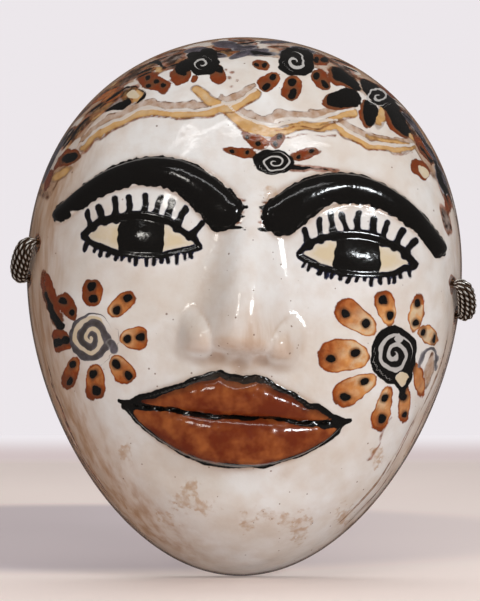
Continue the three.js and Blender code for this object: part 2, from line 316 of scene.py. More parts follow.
def curved(points, steps=5):
    """A smooth line through the given points."""
    points = [np.array(point, float) for point in points]
    ends = [2 * points[0] - points[1], *points, 2 * points[-1] - points[-2]]
    line = []
    for before, start, end, after in zip(ends, ends[1:], ends[2:], ends[3:]):
        for t in np.arange(steps) / steps:
            bend = 2 * before - 5 * start + 4 * end - after
            turn = -before + 3 * start - 3 * end + after
            line.append(0.5 * (2 * start + (end - before) * t + bend * t**2 + turn * t**3))
    return np.array([*line, points[-1]])


def nearest_on(line, points):
    """Distance from each point to a line of points, and how far along the nearest place is."""
    best = np.full(len(points), np.inf)
    along = np.zeros(len(points))
    for i, (start, end) in enumerate(zip(line, line[1:])):
        way = end - start
        share = np.clip((points - start) @ way / (way @ way), 0, 1)
        distance = np.linalg.norm(points - start - share[:, None] * way, axis=1)
        closer = distance < best
        best[closer] = distance[closer]
        along[closer] = (i + share[closer]) / (len(line) - 1)
    return best, along


# The dome of the mask

def arc(t):
    """The arc of a rounded square; the same formula leads back from its height to its width."""
    return (1 - t**DOME_POWER) ** (1 / DOME_POWER)


ARC_END = arc(DOME_CUT)


def dome_share(radius):
    return (arc(np.minimum(DOME_CUT * radius, 1)) - ARC_END) / (1 - ARC_END)


def dome_points(a, b, inset=0.0):
    """Points of the bare dome, from the unit disc that it unrolls to."""
    spread = np.hypot(a, b)
    safe = np.maximum(spread, 1e-9)
    radius = np.sin(DOME_SPREAD * spread) / math.sin(DOME_SPREAD)
    x = (WIDTH / 2 - inset) * radius * a / safe * (1 + EGG_TAPER * b / safe)
    z = (HEIGHT / 2 - inset) * radius * b / safe
    x, z = rolled(x, z, OUTLINE_ROLL)
    return np.stack([x, -RIM_ROUND_DEPTH - (DOME_DEPTH - inset) * dome_share(radius), CENTRE_Z + z], axis=-1)


def dome_normals(a, b, inset=0.0):
    step = 1e-3
    across = dome_points(a + step, b, inset) - dome_points(a - step, b, inset)
    up = dome_points(a, b + step, inset) - dome_points(a, b - step, inset)
    normals = np.cross(across, up)
    return normals / np.linalg.norm(normals, axis=-1, keepdims=True)


def wall_place(side, y, z):
    """Point and normal of the side wall at this depth and height above the middle."""
    radius = arc(ARC_END + (-y - RIM_ROUND_DEPTH) / DOME_DEPTH * (1 - ARC_END)) / DOME_CUT
    sin = z / (HEIGHT / 2 * radius)
    spread = math.asin(radius * math.sin(DOME_SPREAD)) / DOME_SPREAD
    place = (np.array([spread * side * math.sqrt(1 - sin**2)]), np.array([spread * sin]))
    return dome_points(*place)[0], dome_normals(*place)[0]


def ear_holes(name):
    side = -1 if name == "left" else 1
    upper = wall_place(side, EAR_UPPER_Y, EAR_Z[name])
    lower = wall_place(side, EAR_LOWER_Y, EAR_Z[name] - EAR_DROP[name])
    return upper, lower


def seen_from_front(points):
    """Where points appear in the plane of the rim, across and above the middle of the mask."""
    nearer = VIEW_DISTANCE / (VIEW_DISTANCE + points[:, 1] + RIM_ROUND_DEPTH)
    across = VIEW_X + (points[:, 0] - VIEW_X) * nearer
    return np.stack([across, VIEW_Z + (points[:, 2] - VIEW_Z) * nearer - CENTRE_Z], axis=1)


def face_uv(points):
    return rolled(points[..., 0], points[..., 2] - CENTRE_Z, -FACE_ROLL)


# Relief of the face

def brow_roll(u, v):
    """Distance from the middle of a brow, how far along it is, and the brow's half width there."""
    distance, along = nearest_on(bezier(BROW_BEND, 25), np.stack([np.abs(u), v], axis=-1))
    return distance, along, BROW_HALF - BROW_NARROWING * along


def brow_rise(u, v, height):
    distance, along, half = brow_roll(u, v)
    roll = np.maximum(0, 1 - (distance / half) ** 2) ** BROW_BLUNTNESS
    return height * (1 - BROW_FALL * along) * roll


def lid_lines(x):
    """Heights of the upper and lower lid, from one corner of an eye at -1 to the other at 1."""
    arch = np.maximum(1 - x**2, 0)
    return EYE_V + UPPER_LID * arch**LID_POWER, EYE_V - LOWER_LID * arch


def inside_eye(u, v):
    """How far inside the almond of an eye a place lies."""
    x = (np.abs(u) - EYE_U) / EYE_HALF
    upper, lower = lid_lines(x)
    gap = np.minimum(upper - v, v - lower)
    return np.where(np.abs(x) < 1, gap, -np.hypot((np.abs(x) - 1) * EYE_HALF, v - EYE_V))


def lid_rise(u, v):
    gap = inside_eye(u, v)
    lid = 0.7 * np.exp(-(((gap + 2.4) / 1.7) ** 2)) * smooth(EYE_V - 2, EYE_V + 4, v)
    return lid - 1.1 * smooth(-0.8, 1.2, gap)


def nose_rise(u, v, tip_rise):
    side = np.abs(u)
    down = smooth(BROW_V + 6, NOSE_TIP_V, v)
    foot = smooth(NOSE_BASE_V - 4, NOSE_TIP_V - 3, v)
    ridge = NOSE_BRIDGE_RISE + (tip_rise - NOSE_BRIDGE_RISE) * down**1.2
    top = smooth(BROW_V + 24, BROW_V - 8, v)
    bridge = ridge * np.exp(-((side / (10 + 6 * down)) ** 2.3)) * foot * top
    wings = 11 * bell(side, v, 19, NOSE_TIP_V - 5, 10, 11) * smooth(NOSE_BASE_V - 5, NOSE_BASE_V + 5, v)
    return np.maximum(bridge, wings) + 0.35 * np.minimum(bridge, wings)


def lip_edges(u):
    """How far the outlines of the two lips are above and below the line of the mouth."""
    side = np.minimum(np.abs(u), MOUTH_HALF)
    slope = np.minimum(1, (MOUTH_HALF - side) / (MOUTH_HALF - LIP_PEAK_U))
    bow = LIP_BOW * np.maximum(0, 1 - (u / LIP_PEAK_U) ** 2)
    return UPPER_LIP * slope**0.9 - bow, LOWER_LIP * (1 - (side / MOUTH_HALF) ** 2) ** 0.75


def lip_rise(u, v, upper_rise, lower_rise):
    upper, lower = lip_edges(u)
    above = v > MOUTH_V
    share = np.where(above, (v - MOUTH_V) / np.maximum(upper, 0.1), (MOUTH_V - v) / np.maximum(lower, 0.1))
    share = np.clip(share, 0, 1)
    fade = np.maximum(0, 1 - (u / MOUTH_HALF) ** 2)
    bulge = 4 * share * (1 - share)
    furrows = 0.12 * np.sin(u * 1.1 + 0.5 * np.sin(v * 0.4)) * fade * bulge
    return np.where(above, upper_rise, lower_rise) * fade**0.7 * bulge**0.6 + furrows


def face_relief(points, shell):
    u, v = face_uv(points)
    form = sum(rise * bell(np.abs(u), v, *place) for rise, *place in FLESH)
    form += lid_rise(u, v) + nose_rise(u, v, shell.nose_height / MM) + brow_rise(u, v, shell.brow_height / MM)
    form += lip_rise(u, v, shell.upper_lip / MM, shell.lower_lip / MM)
    dents = ripple(points, 26, seed=3) + 0.35 * ripple(points, 9, seed=5)
    return form + shell.dent_depth / MM * dents


def hollow_relief(points):
    u, v = face_uv(points)
    marks = 0.35 * ripple(points, 11, seed=9) + 0.25 * ripple(points, 30, seed=10)
    return 13 * bell(u, v, 0, NOSE_TIP_V, 13, 22) + 3 * bell(u, v, 0, MOUTH_V, 40, 30) + marks


# Meshes of the shell

def mesh_object(name, points, faces):
    mesh = bpy.data.meshes.new(name)
    mesh.from_pydata((np.asarray(points, float) * MM).tolist(), [], faces)
    thing = bpy.data.objects.new(name, mesh)
    bpy.context.scene.collection.objects.link(thing)
    return thing


def strip(first, second):
    """The faces between two closed loops of point numbers."""
    return np.stack([np.roll(first, -1), first, second, np.roll(second, -1)], axis=1).tolist()


def loft(name, rings, closed=False):
    """A closed mesh through rings of points, joined from the last to the first or capped at both ends."""
    numbers = np.arange(sum(map(len, rings))).reshape(len(rings), -1)
    pairs = zip(numbers, np.roll(numbers, -1, axis=0)) if closed else zip(numbers, numbers[1:])
    faces = [face for pair in pairs for face in strip(*pair)]
    if not closed:
        faces += [numbers[0].tolist(), numbers[-1].tolist()]
    thing = mesh_object(name, np.concatenate(rings), faces)
    work = bmesh.new()
    work.from_mesh(thing.data)
    bmesh.ops.recalc_face_normals(work, faces=work.faces)
    work.to_mesh(thing.data)
    work.free()
    return thing


def block(name, low, high):
    (x0, y0, z0), (x1, y1, z1) = low, high
    return loft(name, [[(x0, y0, z), (x1, y0, z), (x1, y1, z), (x0, y1, z)] for z in (z0, z1)])


def circle(centre, first, second, radius, sides):
    """A ring of points round a centre, in the plane of two directions."""
    turns = np.linspace(0, 2 * math.pi, sides, endpoint=False)[:, None]
    return centre + radius * (first * np.cos(turns) + second * np.sin(turns))


def pin(name, centre, direction, radius, half):
    """A round bar for cutting a hole, half its length to each side of its centre."""
    direction = unit(np.array(direction, float))
    first = unit(np.cross(direction, SLANT))
    second = np.cross(direction, first)
    ends = [centre + direction * end for end in (-half, half)]
    return loft(name, [circle(end, first, second, radius, PIN_SIDES) for end in ends])


def disc_grid(columns, rows, focus=0.0):
    """A square grid bent to a disc: its two coordinates, its faces and its edge loop."""
    def lines(count):
        k = np.linspace(-1, 1, count + 1)
        return k - focus * np.sin(math.pi * k) / math.pi

    p, q = np.meshgrid(lines(columns), lines(rows))
    across = (p * np.sqrt(1 - q**2 / 2)).ravel()
    up = (q * np.sqrt(1 - p**2 / 2)).ravel()
    a, b = rolled(across, up, FACE_ROLL - OUTLINE_ROLL)
    index = np.arange((columns + 1) * (rows + 1)).reshape(rows + 1, columns + 1)
    corners = (index[:-1, :-1], index[:-1, 1:], index[1:, 1:], index[1:, :-1])
    faces = np.stack([corner.ravel() for corner in corners], axis=1).tolist()
    loop = np.concatenate([index[0, :-1], index[:-1, -1], index[-1, :0:-1], index[:0:-1, 0]])
    return a, b, faces, loop


def closed_dome(name, faces, loop, points, rings):
    """A dome closed behind by rings of points that follow its edge, and a flat cap."""
    previous = loop
    for k, ring in enumerate(rings):
        current = len(points) + k * len(ring) + np.arange(len(ring))
        faces += strip(previous, current)
        previous = current
    faces.append(previous[::-1].tolist())
    return mesh_object(name, np.concatenate([points, *rings]), faces)


def edge_ring(a, b, loop, y, inset):
    ring = dome_points(a[loop], b[loop], inset)
    ring[:, 1] = y
    return ring


def outer_dome(shell):
    """The glazed outside, closed behind, with the bare places and reliefs that its paint needs."""
    a, b, faces, loop = disc_grid(shell.columns, shell.rows, GRID_FOCUS)
    bare = dome_points(a, b, OUTLINE_SLACK)
    spread = np.hypot(a, b)
    form = smooth(1, FACE_LIMIT, spread) * face_relief(bare, shell)
    points = bare + form[:, None] * dome_normals(a, b)
    rings = []
    for turn in np.radians([22, 45, 67, 90]):
        inset = OUTLINE_SLACK + RIM_ROUND_WIDTH * (1 - math.cos(turn))
        rings.append(edge_ring(a, b, loop, -RIM_ROUND_DEPTH * (1 - math.sin(turn)), inset))
    # how far each place is sunk below its surroundings; the glaze darkens sunk places as painted shade
    pool = hollows(form.reshape(shell.rows + 1, shell.columns + 1)).ravel()
    behind = np.zeros(len(rings) * len(loop))
    outside = {
        "points": np.concatenate([points, *rings]),
        "bare": np.concatenate([bare, *rings]),
        "spread": np.concatenate([spread, behind + 1]),
        "pool": np.concatenate([pool, behind]),
    }
    return closed_dome("mask_glazed", faces, loop, points, rings), outside


def hollows(form):
    """How far each place lies below its surroundings."""
    level = form
    for _ in range(HOLLOW_ROUNDS):
        wide = np.pad(level, 1, mode="edge")
        level = (level + wide[:-2, 1:-1] + wide[2:, 1:-1] + wide[1:-1, :-2] + wide[1:-1, 2:]) / 5
    return np.clip(level - form, -HOLLOW_LIMIT, HOLLOW_LIMIT)


def hollow_dome(shell):
    wall = shell.wall / MM
    a, b, faces, loop = disc_grid(*HOLLOW_GRID)
    bare = dome_points(a, b, wall)
    rise = smooth(1, FACE_LIMIT, np.hypot(a, b)) * hollow_relief(bare)
    points = bare + rise[:, None] * dome_normals(a, b, wall)
    mouth = ((-1.8, 0), (-0.8, 0.35), (0, 1.2), (1, 1.2))
    rings = [edge_ring(a, b, loop, y, wall - flare) for y, flare in mouth]
    return closed_dome("hollow", faces, loop, points, rings)


def web_arch(shell):
    """The strap across the top of the hollow, cut from the middle of the wall's thickness."""
    a, b, faces, loop = disc_grid(*WEB_GRID)
    inset = shell.wall / MM / 2
    core = closed_dome("web", faces, loop, dome_points(a, b, inset), [edge_ring(a, b, loop, -0.3, inset)])
    turns = np.radians([0, 30, 60, 90])
    away = WEB_ARCH_RADIUS + WEB_EDGE_RADIUS * (1 - np.cos(turns))
    drop = WEB_EDGE_RADIUS * (1 - np.sin(turns))
    far = 2.4 * WEB_ARCH_RADIUS
    profile = [*zip(away[::-1], -drop[::-1]), *zip(away, drop - WEB_THICKNESS)]
    profile += [(far, -WEB_THICKNESS), (far, 0)]
    axis_z = WEB_ARCH_TOP_Z - WEB_ARCH_RADIUS
    cut(core, loft("arch", [
        [(r * math.cos(angle), y, axis_z + r * math.sin(angle)) for r, y in profile]
        for angle in np.radians(np.linspace(-5, 185, 77))
    ]), "INTERSECT")
    cut(core, block("below_web", (-200, -60, -400), (200, 60, WEB_BOTTOM_Z)), "DIFFERENCE")
    return core


def cut(thing, tool, operation):
    """Joins or cuts two closed meshes and leaves the result in the first."""
    modifier = thing.modifiers.new("cut", "BOOLEAN")
    modifier.operation = operation
    modifier.solver = "MANIFOLD"
    modifier.object = tool
    graph = bpy.context.evaluated_depsgraph_get()
    result = bpy.data.meshes.new_from_object(thing.evaluated_get(graph))
    thing.modifiers.remove(modifier)
    if not result.polygons:
        raise RuntimeError(f"cutting {thing.name} with {tool.name} left nothing")
    old = thing.data
    thing.data = result
    bpy.data.meshes.remove(old)
    bpy.data.objects.remove(tool)


# Painting

MARK_MARGIN = 5  # how far outside a mark its depth is still reckoned
HIDING = 45  # how fast marks placed from the front run out beyond the limit
IRIS_HALF = 11.5
IRIS_POWER = 3.6

# Petals round a flower: bearing and distance of the middle, length, width, and the way the petal points
LEFT_PETALS = (
    (-1, 22.3, 16, 12, -2), (47, 23.7, 17.5, 9.4, 36), (88, 23.6, 15.5, 10.5, 84),
    (127, 20.2, 16.5, 8, 118), (185, 15.8, 9.5, 12, 182), (240, 21.1, 17, 7.8, 252),
    (275, 23.4, 18.5, 10.2, 272), (314, 23.5, 15.7, 11, 304),
)
RIGHT_PETALS = (
    (181, 26.6, 27, 17, 179), (136, 27.7, 26, 13.5, 144), (100, 25, 20, 10.4, 107),
    (62, 25, 20.5, 7.4, 81), (282, 27.2, 19.6, 6.4, 266), (258, 28.9, 24.7, 9.6, 256),
    (221, 27.1, 26.3, 13.2, 212),
)
BROW_PETALS = (
    (163, 17.9, 18.5, 5.4, 172), (134, 15.4, 15.5, 5, 142), (76, 12, 10, 6.5, 52),
    (15, 17, 17, 5.6, 8),
)
TOP_PETALS = (
    (261, 13.8, 13, 10.5, 262), (216, 17.5, 12.5, 8.6, 222), (184, 18.5, 10, 5.5, 170),
    (325, 16, 12.5, 8.6, 303), (5, 13.3, 9, 6.5, 350),
)


class Canvas:
    """The glazed outside as its painter sees it: how deep inside each paint every place lies."""

    def __init__(self, outside, wobble):
        bare = outside["bare"]
        shaken = bare.copy()
        for axis, seed in ((0, 21), (2, 23)):
            shaken[:, axis] += wobble * (ripple(bare, 8, seed) + 0.4 * ripple(bare, 3, seed + 1))
        self.bare = bare
        self.bearing = np.degrees(np.arctan2(bare[:, 2] - CENTRE_Z, bare[:, 0] * HEIGHT / WIDTH)) % 360
        self.spread = outside["spread"]
        self.hidden = np.maximum(0, self.spread - FACE_LIMIT) * HIDING
        self.front = seen_from_front(outside["points"] + shaken - bare)
        self.face = np.stack(face_uv(shaken), axis=1)
        self.depth = {paint: np.full(len(bare), OUTSIDE) for paint in PAINTS}
        self.tone = np.full(len(bare), 0.7)
        self.winds = {name: np.tile(FAR_WIND, (len(bare), 1)) for name in WOUND}

    def lay(self, paint, depth, near=slice(None)):
        self.depth[paint][near] = np.maximum(self.depth[paint][near], depth)

    def oval(self, paint, x, z, long, wide, axis=0.0, fat=0.0, power=2.2, tone=None):
        """A petal, leaf or dot; fat widens its far end, and tone sets how dark its paint is."""
        away = self.front - (x, z)
        near = np.flatnonzero(np.abs(away).max(1) < (long + wide) / 2 + MARK_MARGIN)
        along, aside = rolled(*away[near].T, math.radians(axis))
        along /= long / 2
        aside /= wide / 2 * (1 + fat * np.clip(along, -1, 1))
        size = (np.abs(along) ** power + np.abs(aside) ** power) ** (1 / power)
        depth = (1 - size) * min(long, wide) / 2 - self.hidden[near]
        self.lay(paint, depth, near)
        if tone is not None:
            self.tone[near] = tone
        return near, along, depth

    def stroke(self, paint, line, widths, face=False):
        """A brush stroke along a line, with its widths from the start to the end."""
        line = np.array(line, float)
        places = self.face if face else self.front
        margin = max(widths) / 2 + MARK_MARGIN
        inside = (places > line.min(0) - margin) & (places < line.max(0) + margin)
        near = np.flatnonzero(inside.all(1))
        distance, along = nearest_on(line, places[near])
        half = np.interp(along, np.linspace(0, 1, len(widths)), widths) / 2
        depth = half - distance - (0 if face else self.hidden[near])
        self.lay(paint, depth, near)
        return near, depth

    def curve(self, paint, points, widths):
        return self.stroke(paint, curved(points), widths)

    def wind(self, name, x, z, wide, high, turns, start=0.0, hand=1):
        """Keeps, round a spiral that fills an oval, every place's coordinates counted in windings."""
        away = (self.front - (x, z)) / (wide / 2, high / 2) * turns
        near = np.flatnonzero(np.hypot(*away.T) < turns * 1.25)
        across, up = rolled(*away[near].T, math.radians(start))
        self.winds[name][near] = np.stack([across, hand * up, np.full(len(near), turns)], axis=1)

    def petal(self, x, z, turn, reach, long, wide, axis, fat=0.18, dark=0.5, fade=0.55):
        """A petal with two dots, and its tone from the end at the flower to its tip."""
        x += reach * math.cos(math.radians(turn))
        z += reach * math.sin(math.radians(turn))
        near, along, depth = self.oval("petal", x, z, long, wide, axis, fat, 2.5)
        painted = depth > -1
        self.tone[near[painted]] = np.clip(dark + fade * along[painted], 0, 1)
        dot = min(4.3, 0.4 * wide + 0.4)
        for offset, skew, stretch in ((0.24, 0.07, 1.25), (-0.22, -0.07, 1.05)):
            across, up = rolled(offset * long, skew * wide, -math.radians(axis))
            self.oval("ink", x + across, z + up, dot * stretch, dot, axis)


def paint_left_flower(canvas):
    oval, stroke, curve, wind = canvas.oval, canvas.stroke, canvas.curve, canvas.wind
    x, z = -80.6, -16.7
    for petal in LEFT_PETALS:
        canvas.petal(x, z, *petal, dark=0.76 - 0.22 * math.cos(math.radians(petal[0])), fade=0.3)
    oval("cream", x - 0.5, z + 0.5, 19, 21)
    wind("brushed", x, z, 23.5, 25.5, 2.2, start=200, hand=-1)
    stroke("slate", [(x + 9.4, z - 2), (x + 12, z - 7)], (3.6, 4.4))
    oval("petal", x - 21, z + 20.4, 31, 7.2, 106, tone=1)
    curve("ink", [(x - 23.4, z + 23), (x - 20.6, z + 14), (x - 16.2, z + 6.2)], (1.6, 3.5, 3.4))


def paint_right_flower(canvas):
    oval, stroke, curve, wind = canvas.oval, canvas.stroke, canvas.curve, canvas.wind
    x, z = 79.6, -25.6
    for petal in RIGHT_PETALS:
        canvas.petal(x, z, *petal, fat=0.22, dark=0.42)
    oval("petal", x + 18.3, z + 10.6, 13, 9, -40, tone=0.05)
    oval("ink", x + 15.4, z + 12, 4.2, 2.2, 80)
    oval("ink", x + 21.5, z + 8.7, 5, 2.2, 75)
    arch = [(x + 13.7, z - 6), (x + 15.9, z + 1.6), (x + 19.4, z + 3.7), (x + 22.2, z + 1), (x + 21.6, z - 8)]
    curve("slate", arch, (1.2, 1.7, 2.1, 1.8, 1.2))
    oval("taupe", x + 18.6, z - 8, 17, 4, 80)
    oval("petal", x + 13.4, z - 13, 19, 6, 276, tone=0.5)
    oval("brown", x + 13.6, z - 15, 7, 1.6, 78)
    oval("ink", x, z, 25, 30.5, 0, power=2.1)
    stroke("ink", [(x + 3.6, z - 11), (x + 4.4, z - 18.5), (x + 4.8, z - 23)], (13, 3.4, 3))
    stroke("scratch", [(x + 2.2, z + 11.4), (x + 2.4, z + 8.6)], (0.6, 5))
    wind("scratched", x + 0.3, z + 0.2, 18.6, 22, 2.08, start=80, hand=-1)
    near, depth = stroke("cream", [(x + 4, z - 12), (x + 4.3, z - 16.6)], (7, 1))
    canvas.depth["ink"][near] = np.minimum(canvas.depth["ink"][near], -depth)


def paint_brow_flower(canvas):
    oval, stroke, curve, wind = canvas.oval, canvas.stroke, canvas.curve, canvas.wind
    x, z = 15.6, 76.4
    curve("brown", [(26, 73.5), (38, 72.8), (50, 72)], (4.6, 3, 1.6))
    stroke("ink", [(25, 73.9), (38, 72.9), (49, 72.3)], (2.8, 0.9, 0.5))
    oval("petal", 10.5, 87.2, 8, 3.4, 140)
    for petal in BROW_PETALS:
        canvas.petal(x, z, *petal, fat=-0.1, dark=1, fade=0.1)
    oval("ink", x, z, 21.8, 13, -4)
    wind("engraved", x + 0.6, z, 16.4, 10.4, 2.1, start=20)


def paint_crown_flowers(canvas):
    oval, curve, wind = canvas.oval, canvas.curve, canvas.wind
    # Blot with three petals, left of the middle
    for px, pz, long, wide, axis in ((-33.6, 122.4, 11.5, 9.2, 215), (-13.6, 123.1, 10.5, 9, 290)):
        oval("petal", px, pz, long, wide, axis, 0.15, tone=1)
        oval("ink", px + 1, pz + 2, 5, 4)
    oval("petal", -26, 121, 4.4, 4.4, tone=1)
    oval("petal", -10.8, 137.6, 10, 3.4, 2, tone=1)
    oval("ochre", -9.8, 134.1, 9, 3.6, 5)
    oval("ink", -21.4, 128.5, 17, 12.5, -8, power=2.6)
    oval("ink", -18.5, 133.5, 9, 8)
    oval("ink", -31, 127, 11, 6.5, 20)
    wind("engraved", -21.6, 128.4, 10.5, 6, 1.1, start=180)
    oval("brown", -37, 131, 15, 6.4, 12)
    oval("light", -38, 130.7, 7, 2.2, 12)
    curve("ink", [(-57, 129.4), (-48, 129.4), (-41, 126.6)], (1, 2.2, 1.6))
    # Loose petal with four dots
    oval("petal", -47, 118.2, 18, 8.8, -25, power=2.6, tone=1)
    for px, pz in ((-50.5, 121), (-46, 119), (-42.6, 116.8), (-50.2, 117)):
        oval("ink", px, pz, 2.7, 2.3)
    for px, pz in ((-8.4, 125.6), (-5.4, 124.4), (-7.6, 121.6), (-4.4, 119.8), (-6.4, 117.4)):
        oval("brown", px, pz, 1.9, 1.5)
    # Round flower, right of the middle
    for petal in TOP_PETALS:
        canvas.petal(27.8, 129.3, *petal, fat=0.1, dark=0.95, fade=0.15)
    oval("ink", 27.8, 129.3, 19, 14.6, -5, power=2.3)
    wind("scratched", 27.2, 129.6, 10, 9, 1.15, start=-20)
    oval("slate", 9.5, 134.4, 16, 3.8, -4)
    oval("ink", 10, 134, 11, 1.8, -6)
    # Wound flower with thick black petals at the right
    for px, pz, long, wide, axis in (
        (53.7, 120.5, 18, 6.4, -35), (53, 109.6, 18, 9.4, 3),
        (67, 102.5, 14.5, 7.2, 276), (81.7, 98.1, 19, 6.2, -52),
    ):
        oval("petal", px - 1.6, pz - 0.8, long + 1, wide + 1, axis, tone=1)
        oval("ink", px, pz, long, wide, axis, power=2.8)
    oval("ochre", 72.5, 101.6, 13, 5.4, 262)
    oval("ink", 72.2, 111.6, 26, 8.6, -40)
    wind("engraved", 72, 111.7, 14, 9.8, 1.6, start=60)
    # Curled leaf at the left
    oval("brown", -63.8, 119.4, 14, 5.4, 39)
    oval("ochre", -58.9, 112.1, 11.5, 9)
    oval("cream", -58.6, 111.9, 6.4, 4.6)
    curl = [(-70, 110), (-64, 115), (-57.2, 116.6), (-52.6, 112.6), (-56.6, 107.6)]
    curve("ink", curl, (0.8, 1, 1.3, 1.4, 1.1))
    curve("brown", [(-60.5, 109.6), (-66, 107.4), (-74, 104.4), (-85, 97.6)], (5, 5, 3.4, 2))
    curve("ink", [(-60.5, 108), (-66, 105.6), (-74, 103)], (2.6, 3, 1))


def paint_side_flowers(canvas):
    oval, stroke, curve = canvas.oval, canvas.stroke, canvas.curve
    oval("petal", -92.3, 78.3, 13.5, 8.4, 28, tone=1)
    oval("ink", -91.6, 78.2, 9.5, 5, 24)
    oval("ochre", -96.6, 69.5, 12, 4, 28)
    oval("petal", -103.4, 67.5, 13, 4.5, 72, tone=1)
    oval("petal", 95.5, 82.8, 20, 5, -57, tone=0.95)
    stroke("ink", [(93.4, 85), (99.5, 76.4)], (1, 1.6))
    oval("petal", 94, 72, 12.5, 7.6, -50, tone=1)
    oval("cream", 95.6, 70.8, 8, 4.4, -50)
    stroke("brown", [(90.6, 75.6), (95, 70.4)], (1, 1.8))
    oval("slate", 104.6, 68.5, 19, 6, -72)
    curve("ink", [(101.4, 77), (104, 68), (107.4, 61)], (2.2, 3.6, 2.2))
    oval("petal", 107.6, 54.7, 12, 4.4, -76, tone=0.95)


VINES = (
    # Left branch and its pale tail, then the two stubs, the thick right branch and its fork
    (((-10.3, 103.9), (-18.8, 102.6), (-26.2, 102.1), (-39.9, 102.3), (-50, 102.9), (-56.8, 101.1),
      (-63.7, 98.3), (-72.2, 93.9), (-79.1, 89.1), (-85.5, 83.6)), (5, 3.8, 4.2, 4.6, 4.2, 3.4, 2.6)),
    (((-10.3, 103.9), (-19.3, 110), (-25, 114.4)), (6, 5.2, 5)),
    (((-10.3, 103.9), (-6, 105.2), (0.8, 109.2), (6, 112)), (5, 5.2, 5.4)),
    (((-10.3, 103.9), (-6.6, 100.9), (0.8, 96.8), (8.7, 93.3), (16.9, 92.6), (24.9, 94), (36.8, 94.9),
      (48.9, 94.9)), (3.4, 6, 8.4, 7, 4.6, 3.6, 3.6)),
    (((48.9, 94.9), (55.3, 90.9), (63.2, 86.8), (73, 84.4), (81, 82.8), (89.5, 83.6)),
     (3.4, 4.4, 4.4, 4.2, 3.4, 2)),
    (((16.9, 96.4), (26.5, 97.3), (36.8, 96.7), (44.9, 98.8), (52.1, 100.8), (58.4, 102)),
     (1.8, 1.9, 2, 2.4, 3.4, 5)),
    (((66, 90.6), (76, 87.6), (87, 85.4)), (1.2, 2.2, 1.8)),
)


def paint_vines(canvas):
    bubbles = 1.1 * ripple(canvas.bare, 4.2, seed=31)
    for points, widths in VINES:
        line = curved(points)
        wide = max(widths)
        canvas.stroke("ochre", line, widths)
        if len(points) < 4:
            continue
        # a white line along the top of the vine, painted as a highlight on it
        canvas.stroke("light", line + (0, 0.44 * wide), (1.3, 2, 1.3))
        near, depth = canvas.stroke("taupe", line + (0, 0.5 * wide + 2.2), (2, 3.4, 3.2, 1.6))
        canvas.lay("taupe", depth + bubbles[near], near)
        canvas.stroke("brown", line - (0, 0.52 * wide), (0.7, 0.9, 0.7))


# Paints of the small leaves near the rim, and how often each comes
RIM_PAINTS = ("brown", "ochre", "slate", "light", "petal")
RIM_SHARES = (0.5, 0.14, 0.1, 0.14, 0.12)

# Marks at the left edge of the crown: paint, bearing, spread, length, width and tilt
RIM_LEAVES = (
    ("slate", 148, 0.965, 26, 9, -0.1), ("brown", 129, 0.94, 14, 9.5, -0.3),
    ("brown", 136, 0.955, 11, 8, -0.3), ("brown", 143.5, 0.935, 14, 8, -0.4),
    ("light", 139.5, 0.925, 12, 6, -0.35), ("brown", 119, 0.945, 14, 9, -0.25),
)


def paint_edges(canvas):
    """Brushy leaves and streaks along the crown and down both sides, near the rim."""
    rng = np.random.default_rng(41)
    along = np.abs((canvas.bearing - 92 + 180) % 360 - 180)
    band = smooth(0.79, 0.86, canvas.spread) * smooth(72, 54, along)
    canvas.lay("taupe", (band - 0.45) * 4)
    for k in range(110):
        middle = rng.uniform(18, 148)
        spread = rng.uniform(0.825, 0.965)
        long, wide = rng.uniform(11, 20), rng.uniform(5.5, 9.5)
        tilt = rng.uniform(0.1, 0.6) * (-1 if middle > 90 else 1)
        paint = RIM_PAINTS[rng.choice(len(RIM_PAINTS), p=RIM_SHARES)]
        leaf(canvas, paint, middle, spread, long, wide, tilt)
        if k % 4 == 0:
            leaf(canvas, "ink", middle, spread + 0.2 * wide / RIM_REACH, 0.7 * long, 0.3 * wide, tilt)
    for mark in RIM_LEAVES:
        leaf(canvas, *mark)
    for k in range(16):
        side = 196 + 36 * rng.random() if k % 2 else 308 + 40 * rng.random()
        spread, long = rng.uniform(0.84, 0.97), rng.uniform(18, 40)
        wide, tilt = rng.uniform(1.2, 2.6), rng.uniform(-0.1, 0.1)
        leaf(canvas, "brown" if k % 3 else "taupe", side, spread, long, wide, tilt)
    # a dark brown ring round each ear hole: partly glaze pooled at the hole, partly painted shade where the
    # hoop lies against the wall
    for name in EAR_Z:
        for hole, _ in ear_holes(name):
            away = np.linalg.norm(canvas.bare - hole, axis=1)
            canvas.lay("brown", 5.5 - away + 1.2 * ripple(canvas.bare, 3, seed=44))
    canvas.curve("brown", [(78.5, -58), (74, -66), (71, -73), (66.5, -81)], (0.6, 1, 0.7, 1.3))


def leaf(canvas, paint, middle, spread, long, wide, tilt):
    """A long mark that follows the rim at this bearing."""
    along = np.radians((canvas.bearing - middle + 180) % 360 - 180) * RIM_GIRTH
    aside = (canvas.spread - spread) * RIM_REACH + tilt * along
    size = ((np.abs(along) / (long / 2)) ** 2 + (np.abs(aside) / (wide / 2)) ** 2) ** 0.5
    canvas.lay(paint, (1 - size) * wide / 2)


